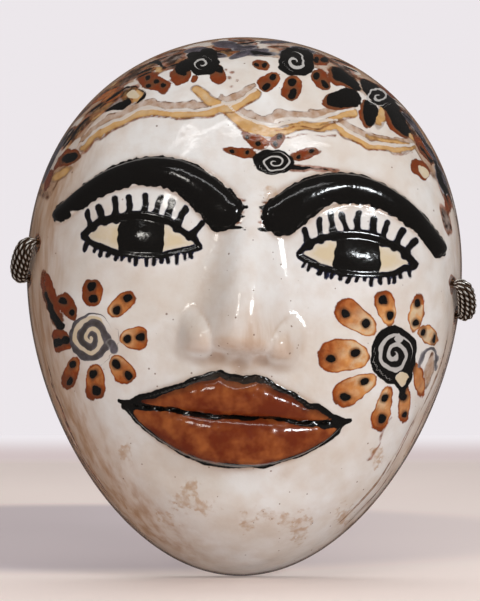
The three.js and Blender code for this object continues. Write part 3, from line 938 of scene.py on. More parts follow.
def paint_eyes(canvas):
    """Wide almond eyes with black block irises and a comb of lashes, in the layout of the lids."""
    u, v = canvas.face.T
    gap = inside_eye(u, v)
    canvas.lay("cream", gap)
    across = np.abs(np.abs(u) - EYE_U + 0.5) / IRIS_HALF
    up = np.abs(v - EYE_V - 2.5) / (IRIS_HALF + 1)
    iris = (1 - (across**IRIS_POWER + up**IRIS_POWER) ** (1 / IRIS_POWER)) * IRIS_HALF
    canvas.lay("ink", np.minimum(iris, gap + 1.2))
    x = np.linspace(-1, 1, 25)
    upper, lower = lid_lines(x)
    for side in (-1, 1):
        rng = np.random.default_rng(50 + side)
        outline = side * (EYE_U + EYE_HALF * x)
        canvas.stroke("lash", np.stack([outline, upper + 0.7], 1), (3, 3.6, 4.4, 3.8, 3.2), face=True)
        canvas.stroke("lash", np.stack([outline, lower - 0.4], 1), (3.2, 3, 2.8, 3, 3.2), face=True)
        for k in range(9):
            place = -0.84 + 1.68 * k / 8 + rng.uniform(-0.02, 0.02)
            base = np.array([EYE_U + EYE_HALF * place, lid_lines(place)[0]])
            lean = math.radians(90 - 34 * place + rng.uniform(-7, 7))
            reach = 8 + 2.6 * (1 - place**2) + rng.uniform(-1, 1)
            tip = base + (reach * math.cos(lean), reach * math.sin(lean))
            bend = (base + tip) / 2 + (rng.uniform(-0.8, 0.8), 0)
            canvas.stroke("lash", curved([base, bend, tip], 3) * (side, 1), (4.4, 3, 3.4), face=True)
        for k in range(15):
            place = -0.88 + 1.76 * k / 14 + rng.uniform(-0.025, 0.025)
            base = np.array([EYE_U + EYE_HALF * place, lid_lines(place)[1] - 1])
            line = np.array([base, base + (1.2 * place, -rng.uniform(2.2, 4))])
            canvas.stroke("lash", line * (side, 1), (2, rng.uniform(1.7, 2.3)), face=True)


def paint_brows(canvas):
    u, v = canvas.face.T
    distance, along, half = brow_roll(u, v)
    ragged = 0.5 * ripple(canvas.bare, 2.6, seed=61)
    canvas.lay("ink", half + 0.5 + ragged - distance)
    start_u, start_v = BROW_BEND[0]
    for side in (-1, 1):
        rng = np.random.default_rng(70 + side)
        for k in range(6):
            rise = 6 - 2.6 * k
            base = (side * (start_u + 1.5), start_v + rise)
            tip = (side * (start_u - 10.5 - rng.uniform(-1, 2)), start_v + 1.1 * rise - rng.uniform(0, 2))
            canvas.stroke("ink" if k % 2 else "brown", [base, tip], (3.4, 1.3), face=True)


def paint_lips(canvas):
    u, v = canvas.face.T
    upper, lower = lip_edges(u)
    inside = np.where(v > MOUTH_V, upper - v + MOUTH_V, lower - MOUTH_V + v)
    canvas.lay("lip", np.where(np.abs(u) < MOUTH_HALF, inside, OUTSIDE))
    across = np.linspace(-MOUTH_HALF, MOUTH_HALF, 49)
    upper, lower = lip_edges(across)
    sway = 0.6 * np.sin(across * 0.13)
    for line_v, widths in (
        (MOUTH_V + upper, (3, 2.6, 3.6, 2.6, 3)),
        (MOUTH_V - lower + 0.5, (3.6, 3.2, 3.8, 3.4, 3.6)),
        (MOUTH_V + sway, (4.4, 2.6, 1.8, 2, 4.4)),
    ):
        canvas.stroke("ink", np.stack([across, line_v], 1), widths, face=True)
    for side in (-1, 1):
        corner = [(side * (MOUTH_HALF - 4), MOUTH_V), (side * (MOUTH_HALF + 3.4), MOUTH_V + 1.6)]
        canvas.stroke("ink", corner, (5, 2), face=True)


def paint_stains(canvas):
    rng = np.random.default_rng(81)
    rough = 1.2 * ripple(canvas.bare, 3, seed=82)
    for x, z, size in (
        (29.9, -115.8, 9), (24, -113, 5), (12, -110, 5), (1.6, -114, 5), (-62, -76.5, 6), (70, -79.5, 5),
        (53.4, -110, 5), (12, 60, 4), (-30, -98, 7), (-33, -104, 5), (-21, -106, 6), (-40, -112, 5),
    ):
        near, _, depth = canvas.oval("stain", x, z, size * 1.6, size, rng.uniform(0, 180))
        canvas.lay("stain", depth + rough[near], near)


def flank(canvas):
    """Where the white is made darker and browner: at the sides, more so at the left, and on the tip of the
    nose; partly thin glaze and staining, partly painted shade.
    """
    left = smooth(118, 150, canvas.bearing) * smooth(268, 236, canvas.bearing)
    right = np.maximum(smooth(62, 36, canvas.bearing), smooth(282, 312, canvas.bearing))
    nose = 0.5 * bell(*canvas.face.T, 4, NOSE_TIP_V - 2, 26, 13)
    left = 1.15 * left * smooth(0.56, 0.9, canvas.spread)
    return left + (0.05 + 0.5 * right) * smooth(0.8, 0.97, canvas.spread) + nose


def paint_mask(outside, wobble):
    canvas = Canvas(outside, wobble)
    for paint in (
        paint_edges, paint_vines, paint_crown_flowers, paint_side_flowers, paint_left_flower,
        paint_right_flower, paint_brow_flower, paint_eyes, paint_brows, paint_lips, paint_stains,
    ):
        paint(canvas)
    values = {paint: np.clip(depth, OUTSIDE, -OUTSIDE) for paint, depth in canvas.depth.items()}
    values |= {"tone": canvas.tone, "flank": flank(canvas)}
    values |= {name: outside[name] for name in ("spread", "pool")}
    return values, canvas.winds


def carry_paint(mesh, outside, values, winds):
    """Gives each point of the finished mesh the paint of its place outside, or marks it as inside."""
    tree = kdtree.KDTree(len(outside["points"]))
    for index, point in enumerate(outside["points"]):
        tree.insert(point, index)
    tree.balance()
    source = np.full(len(mesh.vertices), -1)
    for vertex in mesh.vertices:
        _, index, distance = tree.find(vertex.co / MM)
        if distance < SKIN:
            source[vertex.index] = index
    found = source >= 0

    def store(name, value, blank, kind="FLOAT", field="value"):
        held = np.full((len(source), *value.shape[1:]), blank, np.float32)
        held[found] = value[source[found]]
        mesh.attributes.new(name, kind, "POINT").data.foreach_set(field, held.ravel())

    for name, value in values.items():
        store(name, value, OUTSIDE if name in PAINTS else 0.0)
    for name, value in winds.items():
        store(name, value, FAR_WIND, "FLOAT_VECTOR", "vector")
    store("inside", np.zeros(len(outside["points"])), 1.0)
    return found



# Shaders

class Field:
    """A node's output, to reckon with as with a number."""

    def __init__(self, tree, socket):
        self.tree, self.socket = tree, socket

    def __add__(self, other):
        return self.tree.math("ADD", self, other)

    def __sub__(self, other):
        return self.tree.math("SUBTRACT", self, other)

    def __rsub__(self, other):
        return self.tree.math("SUBTRACT", other, self)

    def __mul__(self, other):
        return self.tree.math("MULTIPLY", self, other)

    def __truediv__(self, other):
        return self.tree.math("DIVIDE", self, other)

    def __rtruediv__(self, other):
        return self.tree.math("DIVIDE", other, self)


class Tree:
    """A node tree in the making, with short ways to add its nodes and join them."""

    def __init__(self, tree):
        self.tree = tree

    def add(self, kind, inputs=None, **settings):
        node = self.tree.nodes.new(kind)
        for name, value in settings.items():
            setattr(node, name, value)
        for name, value in (inputs or {}).items():
            self.feed(node.inputs[name], value)
        return node

    def feed(self, socket, value):
        value = getattr(value, "socket", value)
        if isinstance(value, bpy.types.NodeSocket):
            self.tree.links.new(value, socket)
        else:
            socket.default_value = value

    def out(self, kind, inputs=None, which=0, **settings):
        """One output of a new node."""
        return Field(self, self.add(kind, inputs, **settings).outputs[which])

    def math(self, operation, *values, clamp=False):
        return self.out("ShaderNodeMath", dict(enumerate(values)), operation=operation, use_clamp=clamp)

    def vector(self, operation, *values, which=0):
        return self.out("ShaderNodeVectorMath", dict(enumerate(values)), which, operation=operation)

    def scaled(self, vector, scale):
        return self.out("ShaderNodeVectorMath", {0: vector, "Scale": scale}, operation="SCALE")

    def mix(self, share, first, second):
        return self.out("ShaderNodeMix", {0: share, 6: first, 7: second}, 2, data_type="RGBA")

    def ramp(self, value, start, end, low=0, high=1):
        """A soft step from low at start to high at end."""
        inputs = {"Value": value, 1: start, 2: end, 3: low, 4: high}
        return self.out("ShaderNodeMapRange", inputs, interpolation_type="SMOOTHSTEP")

    def attribute(self, name, which="Fac"):
        return self.out("ShaderNodeAttribute", which=which, attribute_name=name)

    def split(self, vector):
        return [Field(self, part) for part in self.add("ShaderNodeSeparateXYZ", {0: vector}).outputs]

    def place(self):
        return self.out("ShaderNodeTexCoord", which="Object")

    def group(self, name, **inputs):
        """The outputs of a shared shader group, which is made when it is first asked for."""
        group = bpy.data.node_groups.get(name) or SHADER_GROUPS[name](name)
        inputs = {key.capitalize(): value for key, value in inputs.items()}
        node = self.add("ShaderNodeGroup", inputs, node_tree=group)
        return [Field(self, output) for output in node.outputs]

    def mottle(self, size, pattern, low=0.35, high=0.65, stretch=1):
        return self.group("Mottle", size=size, pattern=pattern, low=low, high=high, stretch=stretch)[0]


def new_group(name, inputs, outputs, kind="ShaderNodeTree"):
    """An empty node group: itself, its tree, what its named inputs give, and the sockets of its outputs."""
    group = bpy.data.node_groups.new(name, kind)
    for label, given in inputs.items():
        if isinstance(given, str):
            group.interface.new_socket(label, in_out="INPUT", socket_type=given)
        else:
            socket = group.interface.new_socket(label, in_out="INPUT", socket_type="NodeSocketFloat")
            socket.default_value = given
    for label, socket_type in outputs.items():
        group.interface.new_socket(label, in_out="OUTPUT", socket_type=socket_type)
    tree = Tree(group)
    given = {socket.name: Field(tree, socket) for socket in tree.add("NodeGroupInput").outputs}
    return group, tree, given, tree.add("NodeGroupOutput").inputs


def mottle_group(name):
    """Cloudy variation over the surface, in patches of a size; the pattern number changes their places."""
    inputs = {"Size": 0.02, "Stretch": 1.0, "Pattern": 0.0, "Low": 0.35, "High": 0.65}
    group, tree, given, out = new_group(name, inputs, {"Mask": "NodeSocketFloat"})
    squeeze = tree.out("ShaderNodeCombineXYZ", {0: 1.0, 1: 1.0, 2: given["Stretch"]})
    noise = {
        "Vector": tree.vector("MULTIPLY", tree.place(), squeeze), "W": given["Pattern"],
        "Scale": 1.0 / given["Size"], "Detail": 3.0, "Roughness": 0.55,
    }
    clouds = tree.out("ShaderNodeTexNoise", noise, noise_dimensions="4D")
    tree.feed(out["Mask"], tree.ramp(clouds, given["Low"], given["High"]))
    return group


def speck_group(name):
    """Scattered round specks, their size as a share of their spacing, in a share of the places."""
    inputs = {"Spacing": 0.006, "Size": 0.08, "Share": 0.4}
    group, tree, given, out = new_group(name, inputs, {"Mask": "NodeSocketFloat"})
    cells = {"Vector": tree.place(), "Scale": 1.0 / given["Spacing"], "Randomness": 1.0}
    cells = tree.add("ShaderNodeTexVoronoi", cells).outputs
    luck = tree.add("ShaderNodeSeparateColor", {0: cells["Color"]}).outputs
    size = given["Size"] * (Field(tree, luck[1]) + 0.3)
    spot = tree.ramp(cells["Distance"], size * 1.3, size * 0.7)
    tree.feed(out["Mask"], spot * tree.math("LESS_THAN", luck[0], given["Share"]))
    return group


def wound_group(name):
    """A spiral line, from coordinates counted in windings, and how near the middle of the line a place is."""
    inputs = {"Place": "NodeSocketVector", "Share": 0.5, "Rough": 0.5}
    outputs = {"Line": "NodeSocketFloat", "Core": "NodeSocketFloat"}
    group, tree, given, out = new_group(name, inputs, outputs)
    across, up, turns = tree.split(given["Place"])
    flat = tree.out("ShaderNodeCombineXYZ", {0: across, 1: up})
    radius = tree.vector("LENGTH", flat, which=1) + (given["Rough"] - 0.5) * 0.14
    wound = tree.math("ARCTAN2", up, across) / (2 * math.pi)
    gap = tree.math("ABSOLUTE", tree.math("FRACT", radius - wound) - 0.5)
    edge = 0.5 - given["Share"] * 0.5
    line = tree.ramp(gap, edge - 0.04, edge + 0.04)
    tree.feed(out["Line"], line * tree.ramp(turns - radius, 0, 0.06) * tree.ramp(radius, 0.14, 0.22))
    tree.feed(out["Core"], tree.ramp(gap, edge + 0.06, edge + 0.2))
    return group


SHADER_GROUPS = {"Mottle": mottle_group, "Specks": speck_group, "Wound Line": wound_group}


def new_material(name):
    material = bpy.data.materials.new(name)
    material.use_nodes = True
    return material, Tree(material.node_tree), material.node_tree.nodes["Principled BSDF"].inputs


def feed_shader(tree, shader, colour, roughness, height, strength, distance):
    """Gives a shader its colour and roughness, and its bump from a height."""
    bump = tree.out("ShaderNodeBump", {"Height": height, "Strength": strength, "Distance": distance})
    for name, value in (("Base Color", colour), ("Roughness", roughness), ("Normal", bump)):
        tree.feed(shader[name], value)


def glaze_material(paint):
    material, tree, shader = new_material("painted_glaze")
    ramp, mix, mottle, attribute = tree.ramp, tree.mix, tree.mottle, tree.attribute
    ragged = mottle(0.0036, 5, 0.25, 0.75) - 0.5
    pool, spread, tone = attribute("pool"), attribute("spread"), attribute("tone")
    clouds = mottle(0.038, 1, 0.4, 0.6)
    fine_clouds = mottle(0.009, 2, 0.35, 0.75)
    streaks = mottle(0.006, 3, 0.36, 0.72, stretch=0.16)
    brush = mottle(0.0045, 4, 0.3, 0.7)

    def inside(name, soft=0.16, rough=0.5):
        return ramp(attribute(name) + ragged * rough, -soft, soft)

    def outline(name, wide):
        return ramp(tree.math("ABSOLUTE", attribute(name)), wide, 0.3 * wide)

    def spiral(name):
        """The line of a spiral, and its core."""
        return tree.group("Wound Line", place=attribute(name, "Vector"), share=WOUND[name], rough=fine_clouds)

    def lay(share, over):
        nonlocal colour
        colour = mix(share, colour, over)

    # White glaze: cool where thick, warm where thin on the ridges, painted shade darkening the creases
    # (partly glaze pooled there), painted shade and thin glaze down the sides, streaky
    colour = mix(clouds, paint.glaze, paint.cool_glaze)
    lay(fine_clouds * 0.22 + ramp(pool, -0.1, -1.2, 0, 0.35), paint.warm_glaze)
    # painted shade: sunk places and creases turn grey-brown, partly as glaze pooled in them
    lay(ramp(pool, 0.08, 1.1, 0, 0.55), paint.taupe)
    lay(mottle(0.02, 9, 0.5, 0.75) * 0.1, paint.stain)
    # painted shade with thin glaze: the sides, the left most, and the nose tip turn darker and browner
    thin_glaze_and_shade = tree.math("MULTIPLY", attribute("flank"), streaks * 0.35 + 0.62, clamp=True)
    lay(thin_glaze_and_shade, paint.warm_glaze)
    lay(thin_glaze_and_shade * streaks * 0.7, paint.taupe)
    lay((ramp(spread, 0.95, 0.99, 0.1, 0.8) + streaks * 0.2) * ramp(spread, 0.945, 0.975), paint.umber)
    # Washes
    thin = brush * 0.45 + 0.5
    lay(inside("taupe", 0.5) * thin, paint.taupe)
    lay(outline("taupe", 0.45) * brush, paint.umber)
    ochre = mix(brush * 0.6, paint.ochre, paint.stain)
    ochre = mix(fine_clouds * ramp(attribute("ochre"), 0.4, 2.2, 0, 0.6), ochre, paint.cream)
    lay(inside("ochre", 0.35, 1.2), ochre)
    lay(outline("ochre", 0.8) * thin * 0.7, paint.umber)
    # white marks: pale streaks among the leaves, and a painted highlight along the top of each vine
    lay(inside("light", 0.2) * 0.75, paint.glaze)
    brown = mix(brush, paint.rust, paint.umber)
    brown = mix(ramp(attribute("brown"), 0.5, 1.9, 0, 0.8), brown, paint.ink)
    lay(inside("brown", 0.45) * (thin + 0.1), brown)
    # Stains and specks in the glaze
    lay(inside("stain", 1.2, 5.2) * (brush * 0.6 + 0.04), paint.stain)
    dots = tree.group("Specks", spacing=0.0044, size=0.1, share=0.34)[0]
    lay(dots * 0.7, paint.umber)
    # Petals: pale and thin near the flower, dark at the tips and along the edge
    depth = attribute("petal")
    border = ramp(depth, 0.9, 0.15, 0, 0.6)
    rust_share = ramp(tone, 0.15, 0.95, 0.05, 0.75) + brush * 0.35
    petal = mix(tree.math("ADD", rust_share, border, clamp=True), paint.pale_rust, paint.rust)
    washed = mottle(0.007, 13, 0.35, 0.6) * 0.85 * ramp(tone, 0.65, 0.15) * ramp(depth, 0.3, 1.4)
    petal = mix(washed, petal, paint.cream)
    petal = mix(ramp(tone, 0.75, 1, 0, 0.75), petal, paint.lips)
    petal = mix(mottle(0.0035, 14, 0.45, 0.7) * ramp(tone, 0.2, 0.9, 0.1, 0.5), petal, paint.umber)
    petal_mask = inside("petal", 0.2, 0.6)
    lay(petal_mask, mix(border * brush, petal, paint.umber))
    lay(petal_mask * ramp(attribute("ink"), -1.4, 0, 0, 0.8), paint.umber)
    # Grounds, slate and lips
    lay(inside("cream"), mix(fine_clouds * 0.5, paint.cream, paint.glaze))
    pale_edge = ramp(tree.math("ABSOLUTE", attribute("slate")), 0.7, 0, 0, 0.35)
    slate = mix(brush * 0.65, mix(pale_edge, paint.slate, paint.cool_glaze), paint.ink)
    line, core = spiral("brushed")
    slate = mix(core * line * 0.45, slate, paint.ink)
    lay(tree.math("MAXIMUM", inside("slate"), line) * 0.95, slate)
    lip = mix(mottle(0.011, 6, 0.35, 0.8), paint.lips, mix(0.2, paint.rust, paint.pale_rust))
    lay(inside("lip"), mix(ramp(attribute("lip"), 5.5, 0.5, 0, 0.6), lip, paint.ink))
    # Lash lines bleed blue into the glaze
    lash = attribute("lash")
    lay(ramp(lash, -3.2, -0.1, 0, 0.28), paint.cool_glaze)
    lay(ramp(lash, -0.5, 0.1, 0, 0.45), paint.cobalt)
    lay(inside("lash"), mix(ramp(lash, 0, 0.45, 0.2, 1), paint.cobalt, paint.ink))
    lay(inside("ink", 0.2, 0.5), paint.ink)
    scratch = tree.math("MAXIMUM", inside("scratch"), spiral("scratched")[0])
    lay(tree.math("MAXIMUM", scratch, spiral("engraved")[0]) * 0.9, paint.scratch)
    bare = ramp(attribute("inside"), 0.15, 0.6)
    lay(bare, paint.clay)
    roughness = tree.math("MAXIMUM", fine_clouds * 0.07 + 0.11, bare * 0.8)
    # Surface of the glaze: slow waves, fine orange peel and pinholes
    height = mottle(0.014, 7, 0, 1) * 0.85 + mottle(0.0022, 8, 0, 1) * 0.12 - dots * 0.12
    feed_shader(tree, shader, colour, roughness, height, 0.6, 0.0009)
    tree.feed(shader["Coat Weight"], 0.2 - bare * 0.2)
    shader["Coat Roughness"].default_value = 0.03
    shader["IOR"].default_value = 1.5
    return material


def clay_material(paint):
    material, tree, shader = new_material("bare_clay")
    clouds, grain = tree.mottle(0.03, 11, 0.35, 0.7), tree.mottle(0.0016, 12, 0.2, 0.8)
    grog = tree.group("Specks", spacing=0.0045, size=0.16, share=0.45)[0]
    colour = tree.mix(clouds * 0.55, paint.clay, paint.warm_glaze)
    colour = tree.mix(grain * 0.25, colour, paint.lips)
    colour = tree.mix(grog * 0.45, colour, paint.stain)
    feed_shader(tree, shader, colour, grain * 0.12 + 0.8, grain * 0.4 + clouds * 0.6, 0.7, 0.0007)
    return material


def silver_material(hoop):
    material, tree, shader = new_material("worn_silver")
    blotches = tree.mottle(0.003, 21, 0.25, 0.7)
    # painted glints, partly rubbed metal: the outermost places on each wire turn near-white; the dark tarnish
    # in the hollows is the metal's own
    rubbed_glint = tree.ramp(tree.attribute("rubbed"), 0.86, 0.98) * (blotches * 0.4 + 0.6)
    colour = tree.mix(rubbed_glint, hoop.tarnish, hoop.silver)
    feed_shader(tree, shader, colour, 0.36 - rubbed_glint * 0.1, blotches, 0.3, 0.0001)
    shader["Metallic"].default_value = 0.55
    return material


def table_material(stage):
    material, tree, shader = new_material("table_top")
    place = tree.place()
    across, back, _ = tree.split(place)
    # A wide oval shade behind the mask, weaker at its right
    oval = tree.vector("MULTIPLY", tree.vector("SUBTRACT", place, SHADE_MIDDLE), SHADE_SCALE)
    shade = tree.ramp(tree.vector("LENGTH", oval, which=1), 1.12, 0.86)
    shade = shade * tree.ramp(across, 0.16, -0.06, 0.4, 0.95)
    shade = tree.math("ADD", shade, tree.mottle(0.3, 33, 0.3, 0.7) * 0.1, clamp=True)
    # The far end dims, then fades into the backdrop
    dim_from, dim_to = 0.64 * stage.table_depth, 0.73 * stage.table_depth
    dim = tree.ramp(back, dim_from, dim_to)
    colour = tree.mix(dim, tree.mix(shade, stage.floor, stage.shade), stage.horizon)
    colour = tree.mix(tree.ramp(back, dim_to, stage.table_depth), colour, stage.backdrop)
    tree.feed(shader["Base Color"], tree.mix(dim, colour, linear(0, 0, 0)))
    tree.feed(shader["Emission Color"], colour)
    tree.feed(shader["Emission Strength"], tree.ramp(back, dim_from, dim_to, stage.floor_glow, 1))
    shader["Roughness"].default_value = 0.45
    return material


def pale_world(stage):
    """Pale backdrop where the camera sees it, and the even light of a dimmer room on everything else."""
    world = bpy.data.worlds.new("surroundings")
    world.use_nodes = True
    tree = Tree(world.node_tree)
    ray = tree.add("ShaderNodeLightPath").outputs
    room = world.node_tree.nodes["Background"]
    room.inputs["Color"].default_value = linear(244, 240, 240)
    strength = tree.out("ShaderNodeMix", {0: ray["Is Glossy Ray"], 2: stage.surroundings, 3: stage.reflected})
    tree.feed(room.inputs["Strength"], strength)
    backdrop = tree.out("ShaderNodeBackground", {"Color": stage.backdrop, "Strength": 1.0})
    both = tree.out("ShaderNodeMixShader", {0: ray["Is Camera Ray"], 1: room.outputs[0], 2: backdrop})
    tree.feed(world.node_tree.nodes["World Output"].inputs["Surface"], both)
    return world


# Hoops

def hoop_path(name, turn):
    """Place on a hoop's middle line, how fat the hoop is there, and the way across the hoop."""
    (upper, normal), (lower, lower_normal) = ear_holes(name)
    along = unit(upper - lower)
    outward = normal + lower_normal
    outward = unit(outward - along * (outward @ along))
    half = np.linalg.norm(upper - lower) / 2
    cos, sin = math.cos(turn), math.sin(turn)
    rise, square = (HOOP_RISE, HOOP_SQUARENESS) if sin > 0 else (HOOP_INSIDE, HOOP_INSIDE_SQUARENESS)
    point = (upper + lower) / 2 + along * half * signed_power(cos, square)
    point += outward * rise * signed_power(sin, square)
    return point, sin**HOOP_TAPER if sin > 0 else 0.0, np.cross(along, outward)


def hoop_guide(name, count=48):
    """The outer arch of a hoop as a curve, with how fat it is as the curve's radius."""
    curve = bpy.data.curves.new(f"guide_{name}", "CURVE")
    curve.dimensions = "3D"
    spline = curve.splines.new("POLY")
    spline.points.add(count - 1)
    for point, turn in zip(spline.points, np.linspace(HOOP_START, math.pi - HOOP_START, count)):
        place, point.radius, _ = hoop_path(name, turn)
        point.co = (*(place * MM), 1)
    guide = bpy.data.objects.new(f"guide_{name}", curve)
    bpy.context.scene.collection.objects.link(guide)
    return guide


def hoop_core(name, steps=72):
    """The plain closed wire of a hoop, fatter under the strands."""
    middle = [hoop_path(name, turn) for turn in np.linspace(0, 2 * math.pi, steps, endpoint=False)]
    rings = []
    for k, (place, fatness, across) in enumerate(middle):
        way = unit(middle[(k + 1) % steps][0] - middle[k - 1][0])
        radius = HOOP_WIRE_RADIUS + (HOOP_CORE_RADIUS - HOOP_WIRE_RADIUS) * fatness
        rings.append(circle(place, np.cross(way, across), across, radius, CORE_SIDES))
    return loft(f"core_{name}", rings, closed=True)


def strands_group():
    """Geometry nodes that wind twisted pairs of wire round a guide curve."""
    inputs = {
        "Geometry": "NodeSocketGeometry", "Strands": "NodeSocketInt", "Bundle radius": 0.005,
        "Wire radius": 0.0006, "Pitch": 0.004, "Material": "NodeSocketMaterial",
    }
    outputs = {"Geometry": "NodeSocketGeometry"}
    group, tree, given, out = new_group("Twisted Strands", inputs, outputs, "GeometryNodeTree")
    line = tree.out("GeometryNodeResampleCurve", {"Curve": given["Geometry"], "Count": GUIDE_POINTS})
    capture = tree.add("GeometryNodeCaptureAttribute", {0: line}, domain="POINT")
    held = []
    for label, kind, source, which in (
        ("Middle", "VECTOR", "GeometryNodeInputPosition", 0),
        ("Normal", "VECTOR", "GeometryNodeInputNormal", 0),
        ("Tangent", "VECTOR", "GeometryNodeInputTangent", 0),
        ("Length", "FLOAT", "GeometryNodeSplineParameter", "Length"),
        ("Fatness", "FLOAT", "GeometryNodeInputRadius", 0),
    ):
        capture.capture_items.new(kind, label)
        tree.feed(capture.inputs[label], tree.out(source, which=which))
        held.append(Field(tree, capture.outputs[label]))
    middle, normal, tangent, way, fatness = held
    wires = {0: capture.outputs[0], "Amount": given["Strands"] * 2.0}
    copies = tree.add("GeometryNodeDuplicateElements", wires, domain="SPLINE").outputs
    index = Field(tree, copies["Duplicate Index"])
    strand, wire = tree.math("FLOOR", index / 2.0), tree.math("MODULO", index, 2.0)
    second = tree.vector("CROSS_PRODUCT", tangent, normal)

    def swing(angle, radius):
        """A step of this radius away from the guide, in the direction of the angle."""
        first_part = tree.scaled(normal, tree.math("COSINE", angle))
        second_part = tree.scaled(second, tree.math("SINE", angle))
        return tree.scaled(tree.vector("ADD", first_part, second_part), radius)

    bundle, thickness = given["Bundle radius"], given["Wire radius"]
    slim = fatness * 0.6 + 0.4
    around = strand * (2 * math.pi) / given["Strands"] + way * BUNDLE_LAY
    winding = way * (-2 * math.pi) / given["Pitch"] + wire * math.pi + strand * STRAND_START
    to_strand = swing(around, (bundle - thickness * (2 - WIRE_BITE)) * fatness)
    to_wire = swing(winding, thickness * (1 - WIRE_BITE) * slim)
    place = tree.vector("ADD", middle, tree.vector("ADD", to_strand, to_wire))
    moved = tree.out("GeometryNodeSetPosition", {"Geometry": copies[0], "Position": place})
    profile = tree.out("GeometryNodeCurvePrimitiveCircle", {"Resolution": WIRE_SIDES, "Radius": 1.0})
    wound = {"Curve": moved, "Profile Curve": profile, "Scale": thickness * slim, "Fill Caps": True}
    wound = tree.out("GeometryNodeCurveToMesh", wound)
    # how far out from the middle of the bundle each point lies, for the painted glints on the outermost wires
    away = tree.vector("DISTANCE", tree.out("GeometryNodeInputPosition"), middle, which=1)
    rubbed = {"Geometry": wound, "Name": "rubbed", "Value": away / (bundle * fatness + 0.0002)}
    stored = tree.out("GeometryNodeStoreNamedAttribute", rubbed, data_type="FLOAT", domain="POINT")
    soft = tree.out("GeometryNodeSetShadeSmooth", {"Geometry": stored})
    real = tree.out("GeometryNodeRealizeInstances", {"Geometry": soft})
    dressed = tree.out("GeometryNodeSetMaterial", {"Geometry": real, "Material": given["Material"]})
    tree.feed(out["Geometry"], dressed)
    return group


def run_nodes(thing, group, name, **values):
    """Runs a node group on an object and gives the result as a plain mesh."""
    modifier = thing.modifiers.new("nodes", "NODES")
    modifier.node_group = group
    for item in group.interface.items_tree:
        key = item.name.lower().replace(" ", "_")
        if item.in_out == "INPUT" and key in values:
            modifier[item.identifier] = values[key]
    graph = bpy.context.evaluated_depsgraph_get()
    mesh = bpy.data.meshes.new_from_object(thing.evaluated_get(graph))
    thing.modifiers.remove(modifier)
    mesh.name = name
    return mesh


# Operators, in the order in which they run

def finish_piece(piece, node):
    """Declares a finished piece to the frame, in place of its solid."""
    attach(piece, "root")
    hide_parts(node)


class MakeMask(bpy.types.Operator):
    """Model the hollow mask with its relief, web and holes, and paint and glaze it"""

    bl_idname = "ceramic_mask.make_mask"
    bl_label = "Make Mask"

    def execute(self, context):
        shell, paint = context.scene.mask_shell, context.scene.mask_paint
        mask, outside = outer_dome(shell)
        cut(mask, hollow_dome(shell), "DIFFERENCE")
        cut(mask, web_arch(shell), "UNION")
        nail = pin("nail", np.array([0, 0, NAIL_HOLE_Z]), (0, 1, 0), NAIL_HOLE_RADIUS, half=30)
        cut(mask, nail, "DIFFERENCE")
        for name in EAR_Z:
            (upper, normal), (lower, lower_normal) = ear_holes(name)
            for place in (upper, lower):
                hole = pin("hole", place, normal + lower_normal, EAR_HOLE_RADIUS, half=12)
                cut(mask, hole, "DIFFERENCE")
        mesh = mask.data
        found = carry_paint(mesh, outside, *paint_mask(outside, paint.wobble / MM))
        mesh.materials.clear()
        mesh.materials.append(glaze_material(paint))
        mesh.materials.append(clay_material(paint))
        for face in mesh.polygons:
            face.material_index = 0 if any(found[vertex] for vertex in face.vertices) else 1
        mesh.shade_smooth()
        mesh.set_sharp_from_angle(angle=SHARP_ANGLE)
        finish_piece(mask, "mask")
        return {"FINISHED"}


class MakeHoops(bpy.types.Operator):
    """Wind the two silver hoops from twisted strands"""

    bl_idname = "ceramic_mask.make_hoops"
    bl_label = "Make Hoops"

    def execute(self, context):
        hoop = context.scene.mask_hoops
        silver = silver_material(hoop)
        group = strands_group()
        for name in EAR_Z:
            guide, core = hoop_guide(name), hoop_core(name)
            mesh = run_nodes(
                guide, group, f"hoop_{name}", strands=hoop.strands, bundle_radius=hoop.bundle_radius,
                wire_radius=hoop.wire_radius, pitch=hoop.pitch, material=silver,
            )
            if not mesh.polygons:
                raise RuntimeError("the strands came out empty")
            both = bmesh.new()
            both.from_mesh(mesh)
            both.from_mesh(core.data)
            bmesh.ops.recalc_face_normals(both, faces=both.faces)
            both.to_mesh(mesh)
            both.free()
            mesh.shade_smooth()
            mesh.materials.clear()
            mesh.materials.append(silver)
            bpy.data.objects.remove(core)
            bpy.data.objects.remove(guide)
            piece = bpy.data.objects.new(f"hoop_{name}", mesh)
            context.scene.collection.objects.link(piece)
            finish_piece(piece, f"earring_{name}")
        return {"FINISHED"}


def soft_light(name, energy, place, target, wide, high, tint, mirrored):
    data = bpy.data.lights.new(name, "AREA")
    data.energy, data.color, data.shape = energy, tint, "RECTANGLE"
    data.size, data.size_y = wide, high
    light = bpy.data.objects.new(name, data)
    light.location = place
    light.rotation_euler = (Vector(target) - Vector(place)).to_track_quat("-Z", "Y").to_euler()
    light.visible_glossy = mirrored
    bpy.context.scene.collection.objects.link(light)


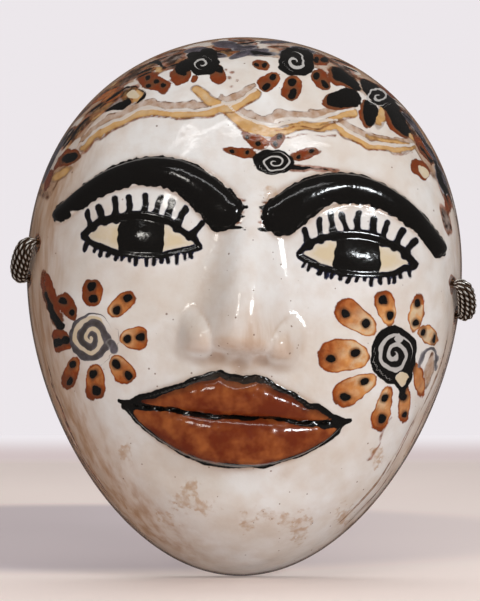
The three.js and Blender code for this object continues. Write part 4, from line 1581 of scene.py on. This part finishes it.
class MakeStage(bpy.types.Operator):
    """Set the pale table and backdrop, the soft lights and the camera"""

    bl_idname = "ceramic_mask.make_stage"
    bl_label = "Make Stage"

    def execute(self, context):
        scene, stage = context.scene, context.scene.mask_stage
        low = (-TABLE_REACH, -TABLE_REACH, TABLE_TOP_Z - TABLE_THICKNESS)
        table = block("table", low, (TABLE_REACH, stage.table_depth / MM, TABLE_TOP_Z))
        table.data.materials.append(table_material(stage))
        table.visible_glossy = False
        for name, *light in LIGHTS:
            soft_light(name, getattr(stage, name), *light)
        scene.world = pale_world(stage)
        scene.view_settings.view_transform = "Standard"
        data = bpy.data.cameras.new("camera")
        data.sensor_width = SENSOR_WIDTH
        data.lens = SENSOR_WIDTH * stage.camera_distance / (VIEW_HEIGHT * MM)
        camera = bpy.data.objects.new("camera", data)
        camera.location = (VIEW_X * MM, -RIM_ROUND_DEPTH * MM - stage.camera_distance, VIEW_Z * MM)
        camera.rotation_euler = (math.pi / 2, 0, 0)
        scene.collection.objects.link(camera)
        scene.camera = camera
        return {"FINISHED"}


OPERATORS = (MakeMask, MakeHoops, MakeStage)
SETTINGS = {
    "mask_shell": ShellSettings, "mask_paint": PaintSettings,
    "mask_hoops": HoopSettings, "mask_stage": StageSettings,
}


class MaskPanel(bpy.types.Panel):
    """Buttons and settings for the mask"""

    bl_idname = "VIEW3D_PT_ceramic_mask"
    bl_label = "Ceramic Mask"
    bl_space_type = "VIEW_3D"
    bl_region_type = "UI"
    bl_category = "Ceramic Mask"

    def draw(self, context):
        for group in SETTINGS:
            settings = getattr(context.scene, group)
            box = self.layout.box()
            for name in settings.__annotations__:
                box.prop(settings, name)
        for operator in OPERATORS:
            self.layout.operator(operator.bl_idname)


def register():
    for group in (*SETTINGS.values(), *OPERATORS, MaskPanel):
        bpy.utils.register_class(group)
    for name, group in SETTINGS.items():
        setattr(bpy.types.Scene, name, PointerProperty(type=group))


def unregister():
    for name in SETTINGS:
        delattr(bpy.types.Scene, name)
    for group in (MaskPanel, *OPERATORS, *SETTINGS.values()):
        bpy.utils.unregister_class(group)


def main():
    register()
    bpy.ops.ceramic_mask.make_mask()
    bpy.ops.ceramic_mask.make_hoops()
    bpy.ops.ceramic_mask.make_stage()


if __name__ == "__main__":
    main()
